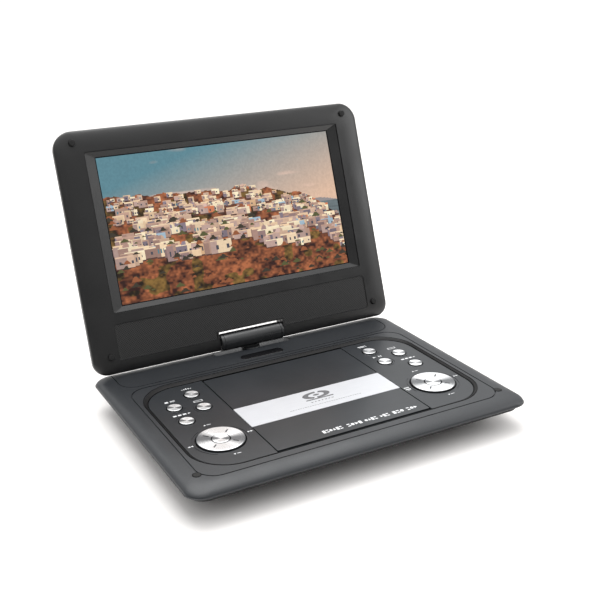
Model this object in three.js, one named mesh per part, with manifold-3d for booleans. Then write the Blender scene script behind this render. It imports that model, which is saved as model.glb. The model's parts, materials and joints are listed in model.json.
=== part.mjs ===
// A portable disc player with a screen half on a swivel hinge.
// Millimetres. +Z is up, +X is the player's right, +Y is its back.
import * as THREE from 'three';
import { mergeVertices } from 'three/addons/utils/BufferGeometryUtils.js';
import Module from 'manifold-3d';

const wasm = await Module();
wasm.setup();

// ---------- overall sizes ----------
const playerWidth = 282;
const playerDepth = 208.7;
const planCornerRadius = 13;

// ---------- clearances ----------
const seatGap = 0.3; // between pieces that rest in each other
const runningGap = 0.15; // between a shaft and its bearing
const doorGap = 0.35; // between the disc door and the panels beside it

// ---------- heights above the floor ----------
const shellUnderside = 2;
const rimBottom = 17.5;
const rimTop = 21;
const coverTop = 26;
const panelTop = 24.8;

// ---------- base casing ----------
const crownWidth = 14; // from the rim's edge to the flat of the cover
const crownSteps = 4;
const shellWall = 2.1;
const tubInset = 4; // the tub's upper edge, in from the rim
const undersideSlope = { side: 24, front: 40, back: 18 }; // how far the underside slopes in before it is flat
const undersideRadius = 10;
const coverWall = 2.2;
const footRadius = 6;
const footInset = 10; // in from the edges of the flat underside
const footSink = 0.9;

// ---------- panel opening ----------
const openingSideMargin = 21.5; // rim's edge to the opening
const openingFront = 24.3;
const openingBackMargin = 51.2; // back edge of the rim to the opening
const openingRadius = 28.7;
const lipSlope = { side: 2.5, front: 2.7, back: 5 };
const ledgeWidth = 3;
const ledgeThickness = 2;
const panelThickness = 2.3;

// ---------- disc and its door ----------
const discDiameter = 120;
const doorSideMargin = 4.85; // disc's edge to the door's edge
const doorThickness = 2;
const fingerGap = 2.1;
const doorBackGap = 1.6;
const stripFront = 41.7; // opening's front to the strip
const stripDepth = 32.5;
const stripThickness = 0.85;
const stripProud = 0.15;
const hingeRodRadius = 0.9;
const hingeBeadRadius = 2.1;
const hingeRodSetback = 2.1; // rod's axis to the door's back edge
const hingeLugLength = 4;

// ---------- disc deck and drive ----------
const deckFloorTop = 18.2;
const deckFloorThickness = 2.2;
const discPocketDepth = 0.8;
const discPocketMargin = 1.5;
const hubRadius = 14;
const discHeight = 19.6; // underside of a seated disc
const hubBossRadius = 7.4;
const hubBossHeight = 2;
const lensRadius = 4.2;
const lensSlotWidth = 17;
const lensInnerRadius = 24;
const sledTravel = 34;
const sledSize = [16, 50, 6.2];
const railSpacing = 42;
const railRadius = 1.5;
const railHeight = 10.5;
const screwRadius = 1.4;
const screwOffset = 34;
const spindleMotorRadius = 12;
const sledMotorRadius = 5.5;
const chassisThickness = 1.6;

// ---------- buttons and dials ----------
const buttonRadius = 5.75;
const buttonRing = 0.45; // open ring around each button
const buttonProud = 0.8;
const buttonFlange = 1.1;
const buttonColumnOffset = 10.15; // from the dial's centre line
const innerButtonRows = [89.2, 113.5]; // from the opening's front
const outerButtonRows = [74.1, 98.5];
const dialRadius = 17.7;
const dialRow = 36;
const dialProud = 1.4;
const dialHoleRadius = 7.1;
const dialCapRadius = 6.5;
const dialRing = 0.6;
const rockGap = 0.5; // lets a ring rock on its pad

// ---------- rear deck and swivel ----------
const rearCoverGap = 38.4; // front groove of the rear cover to the rim's back edge
const rearCoverSideInset = 15;
const rearCoverSink = 4.4;
const badgeSize = [39, 9, 0.9];
const badgeSetback = 8.3; // rear cover's front edge to the badge's middle
const baseBumperRadius = 3;
const baseBumperProud = 0.4;
const baseBumperPlace = [14.2, 22.9]; // in from the side and from the front
const swivelSetback = 8.5; // swivel axis to the rim's back edge
const tiltAxisHeight = 34.2;
const barrelRadius = 7.5;
const barrelLength = 59;
const barrelGap = 0.9;
const dishRadius = 11;
const dishWidth = 73;
const turntableRadius = 8;
const swivelStemRadius = 3.6;
const swivelFlangeRadius = 5.6;
const swivelFlangeThickness = 2;
const tiltShaftRadius = 1.5;
const tiltShaftReach = 7.5; // beyond each end of the barrel

// ---------- screen half, seen with its front towards +Z and its top towards +Y ----------
const screenWidth = 281;
const screenHeight = 198.3;
const screenThickness = 12.4;
const bezelDepth = 4;
const bezelPlate = 3.1;
const bezelEdge = 1.2;
const backEdge = 6;
const backEdgeSteps = 4;
const backWall = 1.8;
const topCornerRadius = 16;
const bottomCornerRadius = 12;
const axisAboveBottom = 6.5;
const axisBehindFace = 4.9;
const restTilt = 19.2; // degrees back from upright
const displayWidth = 217;
const displayHeight = 122.4;
const displayBottom = 53; // from the screen half's bottom edge
const displayBevel = [8.7, 4.4]; // at the sides and at the top and bottom
const displayGlassThickness = 4;
const displayHidden = [3.5, 3.5]; // how far the panel reaches behind the bezel
const grilleWidth = 238;
const grilleBottom = 10;
const grilleHeight = 29.8;
const grilleSink = 0.5;
const grilleThickness = 1;
const grilleLedge = 2.5;
const notchRim = 1.4;
const speakerRadius = 13;
const speakerOffset = 88;
const screenBumperRadius = 2.6;
const screenBumperProud = 1.6;
const screenBumperSide = 15.2;
const screenBumperEnds = [14.2, 9.8]; // from the bottom edge and from the top edge

// ---------- sizes that follow ----------
const halfWidth = playerWidth / 2;
const openingHalf = halfWidth - openingSideMargin;
const openingBack = playerDepth - openingBackMargin;
const doorHalf = discDiameter / 2 + doorSideMargin;
const doorFront = openingFront + fingerGap;
const doorBack = openingBack - doorBackGap;
const spindleY = (openingFront + openingBack) / 2;
const doorUnderside = panelTop - doorThickness;
const panelUnderside = panelTop - panelThickness;
const ledgeTop = panelUnderside - seatGap;
const hingeRodY = doorBack - hingeRodSetback;
const hingeRodZ = panelTop - hingeBeadRadius - 0.1;
const hingeRodHalf = doorHalf + doorGap + hingeLugLength;
const dialX = (doorHalf + doorGap + openingHalf) / 2;
const dialY = openingFront + dialRow;
const deckFront = openingFront + ledgeWidth + seatGap;
const deckWall = 1.5;
const swivelY = playerDepth - swivelSetback;
const rearCoverFront = playerDepth - rearCoverGap;
const rearCoverUnderside = coverTop - rearCoverSink;
const tubTop = rimBottom - seatGap;
const tubFloor = shellUnderside + 2.2;
const innerFloor = tubFloor + seatGap;

// ---------- geometry helpers ----------
function toSolid(geometry) {
  const bare = geometry.clone();
  bare.deleteAttribute('normal');
  bare.deleteAttribute('uv');
  const merged = mergeVertices(bare, 1e-5);
  return new wasm.Manifold(new wasm.Mesh({
    numProp: 3,
    vertProperties: new Float32Array(merged.attributes.position.array),
    triVerts: new Uint32Array(merged.index.array),
  }));
}

function toGeometry(solid) {
  const mesh = solid.getMesh();
  const geometry = new THREE.BufferGeometry();
  geometry.setAttribute('position', new THREE.BufferAttribute(new Float32Array(mesh.vertProperties), 3));
  geometry.setIndex(new THREE.BufferAttribute(new Uint32Array(mesh.triVerts), 1));
  geometry.computeVertexNormals();
  return geometry;
}

// a rectangle from its edges; radii are for the front left, front right, back right and back left
function rect(x0, x1, y0, y1, radii = 0) {
  return { x0, x1, y0, y1, radii: Array.isArray(radii) ? radii : [radii, radii, radii, radii] };
}

function inset(r, by, radiusBy = 0) {
  const radii = r.radii.map((radius) => Math.max(radius - radiusBy, 0.5));
  return rect(r.x0 + by, r.x1 - by, r.y0 + by, r.y1 - by, radii);
}

// points anticlockwise round a rectangle whose corners are arcs
function outline(r, steps = 5) {
  const [frontLeft, frontRight, backRight, backLeft] = r.radii;
  const corners = [
    [r.x1 - frontRight, r.y0 + frontRight, frontRight, -90],
    [r.x1 - backRight, r.y1 - backRight, backRight, 0],
    [r.x0 + backLeft, r.y1 - backLeft, backLeft, 90],
    [r.x0 + frontLeft, r.y0 + frontLeft, frontLeft, 180],
  ];
  return corners.flatMap(([x, y, radius, start]) => {
    const count = radius > 0 ? steps : 0;
    return Array.from({ length: count + 1 }, (_, i) => {
      const angle = THREE.MathUtils.degToRad(start + (count ? (90 * i) / count : 0));
      return new THREE.Vector2(x + radius * Math.cos(angle), y + radius * Math.sin(angle));
    });
  });
}

function slab(r, z0, z1, steps) {
  const shape = new THREE.Shape(outline(r, steps));
  const geometry = new THREE.ExtrudeGeometry(shape, { depth: z1 - z0, bevelEnabled: false });
  return toSolid(geometry.translate(0, 0, z0));
}

function box(x0, x1, y0, y1, z0, z1) {
  const geometry = new THREE.BoxGeometry(x1 - x0, y1 - y0, z1 - z0);
  return toSolid(geometry.translate((x0 + x1) / 2, (y0 + y1) / 2, (z0 + z1) / 2));
}

// outlines with the same number of points, stacked upwards and skinned
function loft(levels, steps = 5) {
  const rings = levels.map(({ r, z }) => outline(r, steps).map((p) => [p.x, p.y, z]));
  const count = rings[0].length;
  const faces = THREE.ShapeUtils.triangulateShape(outline(levels[0].r, steps), []);
  const top = (rings.length - 1) * count;
  const index = [];
  faces.forEach(([a, b, c]) => index.push(a, c, b, top + a, top + b, top + c));
  for (let level = 0; level < rings.length - 1; level += 1) {
    for (let i = 0; i < count; i += 1) {
      const a = level * count + i;
      const b = level * count + ((i + 1) % count);
      index.push(a, b, b + count, a, b + count, a + count);
    }
  }
  const geometry = new THREE.BufferGeometry();
  geometry.setAttribute('position', new THREE.Float32BufferAttribute(rings.flat(2), 3));
  geometry.setIndex(index);
  return toSolid(geometry);
}

// a solid of revolution about a vertical line, from [radius, height] points
function turned(points, x, y, sides = 24) {
  const profile = points.map(([radius, z]) => new THREE.Vector2(radius, z));
  const geometry = new THREE.LatheGeometry([...profile, profile[0]], sides);
  return toSolid(geometry.rotateX(Math.PI / 2).translate(x, y, 0));
}

function disc(radius, x, y, z0, z1, sides = 24) {
  return turned([[0, z0], [radius, z0], [radius, z1], [0, z1]], x, y, sides);
}

function rodAlongX(radius, x0, x1, y, z, sides = 20) {
  const geometry = new THREE.CylinderGeometry(radius, radius, x1 - x0, sides);
  return toSolid(geometry.rotateZ(Math.PI / 2).translate((x0 + x1) / 2, y, z));
}

function join(...solids) {
  return solids.reduce((whole, solid) => whole.add(solid));
}

function cut(solid, ...tools) {
  return tools.reduce((rest, tool) => rest.subtract(tool), solid);
}

// ---------- finishes ----------
function finish(color, roughness, metalness = 0) {
  return () => new THREE.MeshStandardMaterial({ color, roughness, metalness });
}

const finishes = {
  satinBlack: finish(0x2b2d30, 0.42),
  darkShell: finish(0x17181a, 0.55),
  glossPanel: finish(0x2a2e36, 0.12),
  brushedSilver: finish(0xc9ccd0, 0.32, 0.9),
  silverStrip: finish(0xd5d8dd, 0.28, 0.8),
  rubber: finish(0x101010, 0.85),
  blackMetal: finish(0x1b1c1e, 0.35, 0.4),
  steel: finish(0xa7abb0, 0.35, 1),
  zincPlate: finish(0x9aa0a6, 0.45, 0.9),
  mechanismPlastic: finish(0x222326, 0.5),
  lensGlass: finish(0x4c6a9c, 0.05),
  boardGreen: finish(0x1f5a37, 0.6),
  batteryWrap: finish(0x2c4a7a, 0.5),
  coneBlack: finish(0x191919, 0.8),
  grilleMesh: finish(0x3a3b3c, 0.5, 0.5),
  displayGlass: finish(0x0c0e12, 0.08),
};

const player = new THREE.Group();
const base = new THREE.Group();
const swivel = new THREE.Group();
const screen = new THREE.Group();
player.add(base, swivel, screen);

function place(group, name, solid, finishName) {
  const mesh = new THREE.Mesh(toGeometry(solid), finishes[finishName]());
  mesh.name = name;
  group.add(mesh);
}

const sides = [['left', -1], ['right', 1]];

// ---------- bottom shell and feet ----------
const rimRect = rect(-halfWidth, halfWidth, 0, playerDepth, planCornerRadius);
const flatRect = rect(-halfWidth + tubInset + undersideSlope.side, halfWidth - tubInset - undersideSlope.side,
  tubInset + undersideSlope.front, playerDepth - tubInset - undersideSlope.back, undersideRadius);
const footPlaces = sides.flatMap(([side, sign]) => [
  [`front_${side}`, sign * (flatRect.x1 - footInset), flatRect.y0 + footInset],
  [`back_${side}`, sign * (flatRect.x1 - footInset), flatRect.y1 - footInset],
]);

// ports in the right wall of the tub: width along the side, height, and distance from the back edge
const portFaceX = halfWidth - 7.4;
const portZ = 11;
const ports = {
  dcJack: { size: [9, 8.4], setback: 54, depth: 12, bore: 2.9, pin: 1, finish: 'mechanismPlastic' },
  headphoneJack: { size: [7, 6.4], setback: 77, depth: 13, bore: 1.8, pin: 0, finish: 'mechanismPlastic' },
  videoJack: { size: [7, 6.4], setback: 93, depth: 13, bore: 1.8, pin: 0, finish: 'mechanismPlastic' },
};
const switchSlot = { setback: 119, length: 12, height: 3.4 };
const switchKnob = { length: 7, height: 2.8, proud: 1.2 };

function portWindow({ size, setback }) {
  const y = playerDepth - setback;
  return box(portFaceX - 8, halfWidth, y - size[0] / 2 - seatGap, y + size[0] / 2 + seatGap,
    portZ - size[1] / 2 - seatGap, portZ + size[1] / 2 + seatGap);
}

// the ports' block stands down from the sloping underside, near the right edge
const portBlock = { depth: 30, front: 74, back: 30, bottom: 4.2, wall: 2.4 };

function bottomShell() {
  const upper = inset(rimRect, tubInset);
  const inner = inset(rimRect, tubInset + shellWall);
  const slope = loft([
    { r: flatRect, z: shellUnderside },
    { r: upper, z: tubTop - 1 },
    { r: upper, z: tubTop },
  ]);
  const hollow = loft([
    { r: inset(flatRect, 0.5), z: tubFloor },
    { r: inset(inner, 0.5), z: tubTop - 0.6 },
    { r: inner, z: tubTop + 1 },
  ]);
  const blockRect = rect(portFaceX - portBlock.depth, portFaceX + 0.6, portBlock.front, playerDepth - portBlock.back, 3);
  const block = slab(blockRect, portBlock.bottom, tubTop, 3);
  const blockHollow = slab(inset(blockRect, portBlock.wall, 2), portBlock.bottom + 2, tubTop + 1, 3);
  const footSeats = footPlaces.map(([, x, y]) => (
    disc(footRadius + seatGap, x, y, shellUnderside - 1, shellUnderside + footSink, 18)));
  const switchY = playerDepth - switchSlot.setback;
  const slot = box(portFaceX - 8, halfWidth, switchY - switchSlot.length / 2, switchY + switchSlot.length / 2,
    portZ - switchSlot.height / 2, portZ + switchSlot.height / 2);
  return cut(join(slope, block), hollow, blockHollow, slot, ...footSeats, ...Object.values(ports).map(portWindow));
}

place(base, 'bottom_shell', bottomShell(), 'darkShell');
footPlaces.forEach(([name, x, y]) => {
  const foot = turned([[0, 0], [footRadius - 0.6, 0], [footRadius, 0.5],
    [footRadius, shellUnderside + footSink - seatGap], [0, shellUnderside + footSink - seatGap]], x, y, 18);
  place(base, `foot_${name}`, foot, 'rubber');
});

// ---------- top cover ----------
function crownLevels() {
  const levels = [
    { r: inset(rimRect, 0.5), z: rimBottom },
    { r: rimRect, z: rimBottom + 0.5 },
    { r: rimRect, z: rimTop - 0.5 },
    { r: inset(rimRect, 0.35), z: rimTop },
  ];
  for (let i = 1; i <= crownSteps; i += 1) {
    const angle = (Math.PI / 2) * (i / crownSteps);
    levels.push({
      r: inset(rimRect, crownWidth - (crownWidth - 0.35) * Math.cos(angle)),
      z: rimTop + (coverTop - rimTop) * Math.sin(angle),
    });
  }
  return levels;
}

const coverBlank = loft(crownLevels());
const openingRect = rect(-openingHalf, openingHalf, openingFront, openingBack, openingRadius);
const lipRect = rect(-openingHalf - lipSlope.side, openingHalf + lipSlope.side,
  openingFront - lipSlope.front, openingBack + lipSlope.back, openingRadius + lipSlope.side);
const rearCoverRect = rect(-halfWidth + rearCoverSideInset, halfWidth - rearCoverSideInset,
  rearCoverFront, playerDepth + 20, planCornerRadius);
const dish = rodAlongX(dishRadius, -dishWidth / 2, dishWidth / 2, swivelY, tiltAxisHeight, 40);
const rearWell = coverTop - rearCoverSink - seatGap;

function topCover() {
  const hollow = loft([
    { r: inset(rimRect, 2.4), z: rimBottom - 1 },
    { r: inset(rimRect, 2.4), z: rimTop - 1.6 },
    { r: inset(rimRect, 9), z: rimTop + 1 },
    { r: inset(rimRect, crownWidth + 1), z: coverTop - coverWall },
  ]);
  const collar = slab(inset(openingRect, -2), ledgeTop - ledgeThickness, coverTop - coverWall + 0.5);
  const rearBed = slab(inset(rearCoverRect, -2), rearWell - 2, coverTop - coverWall + 0.5).intersect(coverBlank);
  const opening = loft([
    { r: openingRect, z: ledgeTop },
    { r: openingRect, z: panelTop },
    { r: lipRect, z: coverTop },
    { r: lipRect, z: coverTop + 1 },
  ]);
  const through = slab(inset(openingRect, ledgeWidth, ledgeWidth), rimBottom - 2, ledgeTop + 1);
  const hingeBay = box(-hingeRodHalf - 1, hingeRodHalf + 1, openingBack - 20, openingBack, rimBottom - 2, ledgeTop + 1);
  const rearSeat = slab(rearCoverRect, rearWell, coverTop + 10);
  const rearThrough = slab(rect(rearCoverRect.x0 + 4, rearCoverRect.x1 - 4, rearCoverFront + 4, playerDepth - 2.6, 9),
    rearWell - 5, rearWell + 1);
  const bumperSeats = sides.map(([, sign]) => disc(baseBumperRadius + seatGap,
    sign * (halfWidth - baseBumperPlace[0]), baseBumperPlace[1], coverTop - 1.2, coverTop + 1, 14));
  return cut(join(cut(coverBlank, hollow), collar, rearBed), opening, through, hingeBay, rearSeat, rearThrough,
    ...bumperSeats);
}

place(base, 'top_cover', topCover(), 'satinBlack');
sides.forEach(([side, sign]) => {
  const bumper = turned([[0, coverTop - 0.9], [baseBumperRadius, coverTop - 0.9],
    [baseBumperRadius, coverTop + baseBumperProud], [0, coverTop + baseBumperProud]],
  sign * (halfWidth - baseBumperPlace[0]), baseBumperPlace[1], 14);
  place(base, `base_bumper_${side}`, bumper, 'rubber');
});

// ---------- rear cover and badge ----------
const badgeY = rearCoverFront + badgeSetback;

function rearCover() {
  const plate = coverBlank.intersect(slab(inset(rearCoverRect, seatGap, seatGap), rearCoverUnderside, coverTop + 1));
  const pockets = sides.map(([, sign]) => {
    const inner = sign * (dishWidth / 2 + 3);
    const outer = sign * (halfWidth - rearCoverSideInset - 2.6);
    return box(Math.min(inner, outer), Math.max(inner, outer), rearCoverFront + 2.6, swivelY - 3,
      rearCoverUnderside - 1, coverTop - 2);
  });
  const turntableSeat = disc(turntableRadius + 0.4, 0, swivelY, tiltAxisHeight - dishRadius, coverTop + 5);
  const stemBore = disc(swivelStemRadius + runningGap, 0, swivelY, rearCoverUnderside - 1, coverTop);
  const badgeRect = rect(-badgeSize[0] / 2, badgeSize[0] / 2, badgeY - badgeSize[1] / 2, badgeY + badgeSize[1] / 2,
    badgeSize[1] / 2);
  const badgeSeat = slab(inset(badgeRect, -seatGap), coverTop - badgeSize[2], coverTop + 1);
  return cut(plate, ...pockets, dish, turntableSeat, stemBore, badgeSeat);
}

place(base, 'rear_cover', rearCover(), 'satinBlack');
place(base, 'badge', slab(rect(-badgeSize[0] / 2, badgeSize[0] / 2, badgeY - badgeSize[1] / 2,
  badgeY + badgeSize[1] / 2, badgeSize[1] / 2 - 0.01), coverTop - badgeSize[2] + seatGap, coverTop + 0.1), 'glossPanel');

// ---------- control panels ----------
const buttonPlaces = [
  ...innerButtonRows.map((row, i) => [`inner_${i ? 'back' : 'front'}`, -buttonColumnOffset, openingFront + row]),
  ...outerButtonRows.map((row, i) => [`outer_${i ? 'back' : 'front'}`, buttonColumnOffset, openingFront + row]),
];
const lugSpan = [doorHalf + doorGap + 0.3, doorHalf + doorGap + hingeLugLength];
const lugDepth = 5.4;
const lugDrop = 3.3;

// built on the right and turned over for the left
function controlPanel(sign) {
  const plate = slab(rect(doorHalf + doorGap, openingHalf - seatGap, openingFront + seatGap, openingBack - seatGap,
    [0.5, openingRadius - seatGap, openingRadius - seatGap, 0.5]), panelUnderside, panelTop);
  const lug = box(lugSpan[0], lugSpan[1], hingeRodY - lugDepth / 2, hingeRodY + lugDepth / 2,
    panelUnderside - lugDrop, panelUnderside + 0.5);
  const rodBore = rodAlongX(hingeRodRadius + runningGap, doorHalf, hingeRodHalf + 0.4, hingeRodY, hingeRodZ, 16);
  const dialHole = disc(dialRadius + dialRing, dialX, dialY, panelUnderside - 1, panelTop + 1, 36);
  const buttonHoles = buttonPlaces.map(([, x, y]) => (
    disc(buttonRadius + buttonRing, dialX + x, y, panelUnderside - 1, panelTop + 1, 20)));
  const right = cut(join(plate, lug), rodBore, dialHole, ...buttonHoles);
  return sign > 0 ? right : right.mirror([1, 0, 0]);
}

sides.forEach(([side, sign]) => {
  place(base, `control_panel_${side}`, controlPanel(sign), 'glossPanel');
  buttonPlaces.forEach(([name, x, y]) => {
    const under = panelUnderside - seatGap;
    const top = panelTop + buttonProud;
    const button = turned([[0, under - 1.6], [buttonRadius + buttonFlange, under - 1.6],
      [buttonRadius + buttonFlange, under], [buttonRadius, under], [buttonRadius, top], [0, top]],
    sign * (dialX + x), y, 20);
    place(base, `button_${side}_${name}`, button, 'brushedSilver');
  });
});

// ---------- dials: a rubber rocker pad, a ring that rocks on it, and a centre button ----------
const dialTop = panelTop + dialProud;
const dialFlangeTop = panelUnderside - 0.7;
const dialFlangeBottom = dialFlangeTop - 1.4;
const padTop = dialFlangeBottom - rockGap;

sides.forEach(([side, sign]) => {
  const x = sign * dialX;
  const ring = turned([[dialHoleRadius, dialFlangeBottom], [dialRadius + 1.3, dialFlangeBottom],
    [dialRadius + 1.3, dialFlangeTop], [dialRadius, dialFlangeTop], [dialRadius, dialTop - 0.4],
    [dialRadius - 0.6, dialTop], [dialHoleRadius, dialTop]], x, dialY, 36);
  const pad = turned([[3, padTop - 1.6], [dialRadius - 2, padTop - 1.6], [dialRadius - 2, padTop], [3, padTop]],
    x, dialY, 20);
  const cap = turned([[0, padTop - 1.6], [2.2, padTop - 1.6], [2.2, dialFlangeTop], [dialCapRadius, dialFlangeTop],
    [dialCapRadius, dialTop + 0.1], [0, dialTop + 0.1]], x, dialY, 24);
  place(base, `dial_pad_${side}`, pad, 'rubber');
  place(base, `dial_ring_${side}`, ring, 'brushedSilver');
  place(base, `dial_button_${side}`, cap, 'brushedSilver');
});

// ---------- disc door ----------
const stripY0 = openingFront + stripFront;
const stripY1 = stripY0 + stripDepth;
const stripSeatZ = panelTop + stripProud - stripThickness - seatGap;
const hookOffset = 50; // each side of the middle, clear of the disc
const hookHalf = 4;
const hookY = deckFront + deckWall + 1.4;
const hookDrop = 3.4;

function discDoor() {
  const plate = slab(rect(-doorHalf, doorHalf, doorFront, doorBack, 1.2), doorUnderside, panelTop, 3);
  const bead = rodAlongX(hingeBeadRadius, -doorHalf + 0.5, doorHalf - 0.5, hingeRodY, hingeRodZ, 24);
  const hooks = sides.flatMap(([, sign]) => {
    const x = sign * hookOffset;
    return [
      box(x - hookHalf, x + hookHalf, hookY, hookY + 1.6, doorUnderside - hookDrop, doorUnderside + 0.5),
      box(x - hookHalf, x + hookHalf, hookY - 0.8, hookY + 0.5, doorUnderside - hookDrop,
        doorUnderside - hookDrop + 1.2),
    ];
  });
  const rodBore = rodAlongX(hingeRodRadius + seatGap, -doorHalf - 1, doorHalf + 1, hingeRodY, hingeRodZ, 16);
  const stripSeat = box(-doorHalf - 1, doorHalf + 1, stripY0, stripY1, stripSeatZ, panelTop + 1);
  return cut(join(plate, bead, ...hooks), rodBore, stripSeat);
}

place(base, 'disc_door', discDoor(), 'glossPanel');
place(base, 'door_strip', slab(rect(-doorHalf, doorHalf, stripY0 + 0.25, stripY1 - 0.25, 0.3),
  stripSeatZ + seatGap, panelTop + stripProud, 2), 'silverStrip');
place(base, 'door_hinge_rod', rodAlongX(hingeRodRadius, -hingeRodHalf, hingeRodHalf, hingeRodY, hingeRodZ, 16), 'steel');

// ---------- disc deck: the tray that a disc lies in ----------
const deckBack = openingBack - 0.9;
const deckOuterHalf = doorHalf + 3.15;

function discDeck() {
  const floorBottom = deckFloorTop - deckFloorThickness;
  const tray = slab(rect(-deckOuterHalf, deckOuterHalf, deckFront, deckBack + deckWall, 2), floorBottom, ledgeTop, 3);
  const well = slab(rect(-doorHalf - 0.35, doorHalf + 0.35, deckFront + deckWall, deckBack, 1.5), deckFloorTop,
    ledgeTop + 1, 3);
  const backRelief = box(-deckOuterHalf - 1, deckOuterHalf + 1, deckBack - 1, deckBack + deckWall + 1,
    ledgeTop - ledgeThickness - seatGap, ledgeTop + 1);
  const lugRelief = sides.map(([, sign]) => {
    const x = [sign * (doorHalf - 1), sign * (deckOuterHalf + 5)].sort((a, b) => a - b);
    return box(x[0], x[1], hingeRodY - lugDepth / 2 - 0.6, deckBack + 5, panelUnderside - lugDrop - 0.5, ledgeTop + 1);
  });
  const pocket = disc(discDiameter / 2 + discPocketMargin, 0, spindleY, deckFloorTop - discPocketDepth,
    deckFloorTop + 1, 48);
  const pocketInTray = pocket.intersect(slab(rect(-doorHalf, doorHalf, deckFront + deckWall, deckBack, 1.5),
    floorBottom, ledgeTop, 3));
  const hubHole = disc(hubRadius + 1, 0, spindleY, floorBottom - 1, deckFloorTop + 1);
  const lensSlot = slab(rect(-discDiameter / 2 - 3, -hubRadius - 3.6, spindleY - lensSlotWidth / 2,
    spindleY + lensSlotWidth / 2, 3), floorBottom - 1, deckFloorTop + 1, 4);
  return cut(tray, well, backRelief, ...lugRelief, pocketInTray, hubHole, lensSlot);
}

place(base, 'disc_deck', discDeck(), 'mechanismPlastic');

// ---------- drive: chassis, spindle, rails, sled and lead screw; the sled runs out to the left ----------
const chassisHalf = 26.5;
const chassisTop = innerFloor + chassisThickness;
const sledRestX = -lensInnerRadius;
const railOuter = sledRestX - sledTravel - sledSize[0] / 2 - 1;
const railInner = -spindleMotorRadius - 2.4;
const sledBottom = railHeight - sledSize[2] / 2;
const sledTop = railHeight + sledSize[2] / 2;
const tabThickness = 1.7;

function mechanismChassis() {
  const plate = slab(rect(railOuter - 4, spindleMotorRadius + 8, spindleY - chassisHalf, spindleY + chassisHalf, 4),
    innerFloor, chassisTop, 3);
  const window = slab(rect(railOuter + 6, railInner - 6, spindleY - 15, spindleY + 15, 3), innerFloor - 1,
    chassisTop + 1, 3);
  const tabs = sides.flatMap(([, sign]) => {
    const y = spindleY + (sign * railSpacing) / 2;
    return [railOuter - seatGap - tabThickness, railInner + seatGap].map((x) => (
      box(x, x + tabThickness, y - 2.5, y + 2.5, chassisTop - 0.5, railHeight + 2.5)));
  });
  return join(cut(plate, window), ...tabs);
}

place(base, 'mechanism_chassis', mechanismChassis(), 'zincPlate');
place(base, 'spindle_motor', disc(spindleMotorRadius, 0, spindleY, chassisTop + seatGap,
  deckFloorTop - deckFloorThickness - 0.8, 20), 'steel');
place(base, 'spindle_hub', turned([[0, discHeight - 4.1], [1.5, discHeight - 4.1], [1.5, discHeight - 2.6],
  [hubRadius, discHeight - 2.6], [hubRadius, discHeight], [hubBossRadius, discHeight],
  [hubBossRadius, discHeight + hubBossHeight - 0.8], [hubBossRadius - 1.2, discHeight + hubBossHeight],
  [0, discHeight + hubBossHeight]], 0, spindleY, 24), 'mechanismPlastic');

[['front', -1], ['back', 1]].forEach(([end, sign]) => {
  place(base, `guide_rod_${end}`, rodAlongX(railRadius, railOuter, railInner, spindleY + (sign * railSpacing) / 2,
    railHeight, 12), 'steel');
});

const screwY = spindleY - screwOffset;
const nutArm = { width: 7, height: 3, reach: screwY + screwRadius + seatGap };

function laserSled() {
  const x0 = sledRestX - sledSize[0] / 2;
  const block = box(x0, x0 + sledSize[0], spindleY - sledSize[1] / 2, spindleY + sledSize[1] / 2, sledBottom, sledTop);
  const arm = box(x0 + 1, x0 + 1 + nutArm.width, nutArm.reach, spindleY - sledSize[1] / 2 + 1,
    railHeight - nutArm.height / 2, railHeight + nutArm.height / 2);
  const bores = sides.map(([, sign]) => (
    rodAlongX(railRadius + runningGap, x0 - 1, x0 + sledSize[0] + 1, spindleY + (sign * railSpacing) / 2, railHeight, 12)));
  return cut(join(block, arm), ...bores);
}

place(base, 'laser_sled', laserSled(), 'mechanismPlastic');
place(base, 'pickup_lens', turned([[0, sledTop + seatGap], [lensRadius, sledTop + seatGap],
  [lensRadius, sledTop + 2.2], [lensRadius - 1, sledTop + 2.8], [0, sledTop + 3.2]], sledRestX, spindleY, 16),
'lensGlass');
const screwInner = sledRestX + 1;
place(base, 'lead_screw', rodAlongX(screwRadius, railOuter - 0.5, screwInner, screwY, railHeight, 12), 'steel');
place(base, 'sled_motor', rodAlongX(sledMotorRadius, screwInner + seatGap, screwInner + 16, screwY, railHeight, 20),
  'steel');

// ---------- board, battery, ports and power switch ----------
const boardRect = rect(30, halfWidth - 47, openingFront + 40, openingBack + 10, 2);
place(base, 'main_board', slab(boardRect, innerFloor + 3, innerFloor + 4.6, 3), 'boardGreen');
place(base, 'battery_pack', slab(rect(-halfWidth + 40, 22, spindleY + chassisHalf + 5, playerDepth - 30, 3),
  innerFloor, innerFloor + 9, 3), 'batteryWrap');

function port({ size, setback, depth, bore, pin }) {
  const y = playerDepth - setback;
  const body = box(portFaceX - depth, portFaceX, y - size[0] / 2, y + size[0] / 2, portZ - size[1] / 2,
    portZ + size[1] / 2);
  const hole = rodAlongX(bore, portFaceX - depth + 2, portFaceX + 1, y, portZ, 20);
  const open = cut(body, hole);
  return pin ? join(open, rodAlongX(pin, portFaceX - depth + 1, portFaceX - 1.5, y, portZ, 12)) : open;
}

place(base, 'dc_jack', port(ports.dcJack), ports.dcJack.finish);
place(base, 'headphone_jack', port(ports.headphoneJack), ports.headphoneJack.finish);
place(base, 'video_jack', port(ports.videoJack), ports.videoJack.finish);

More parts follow.
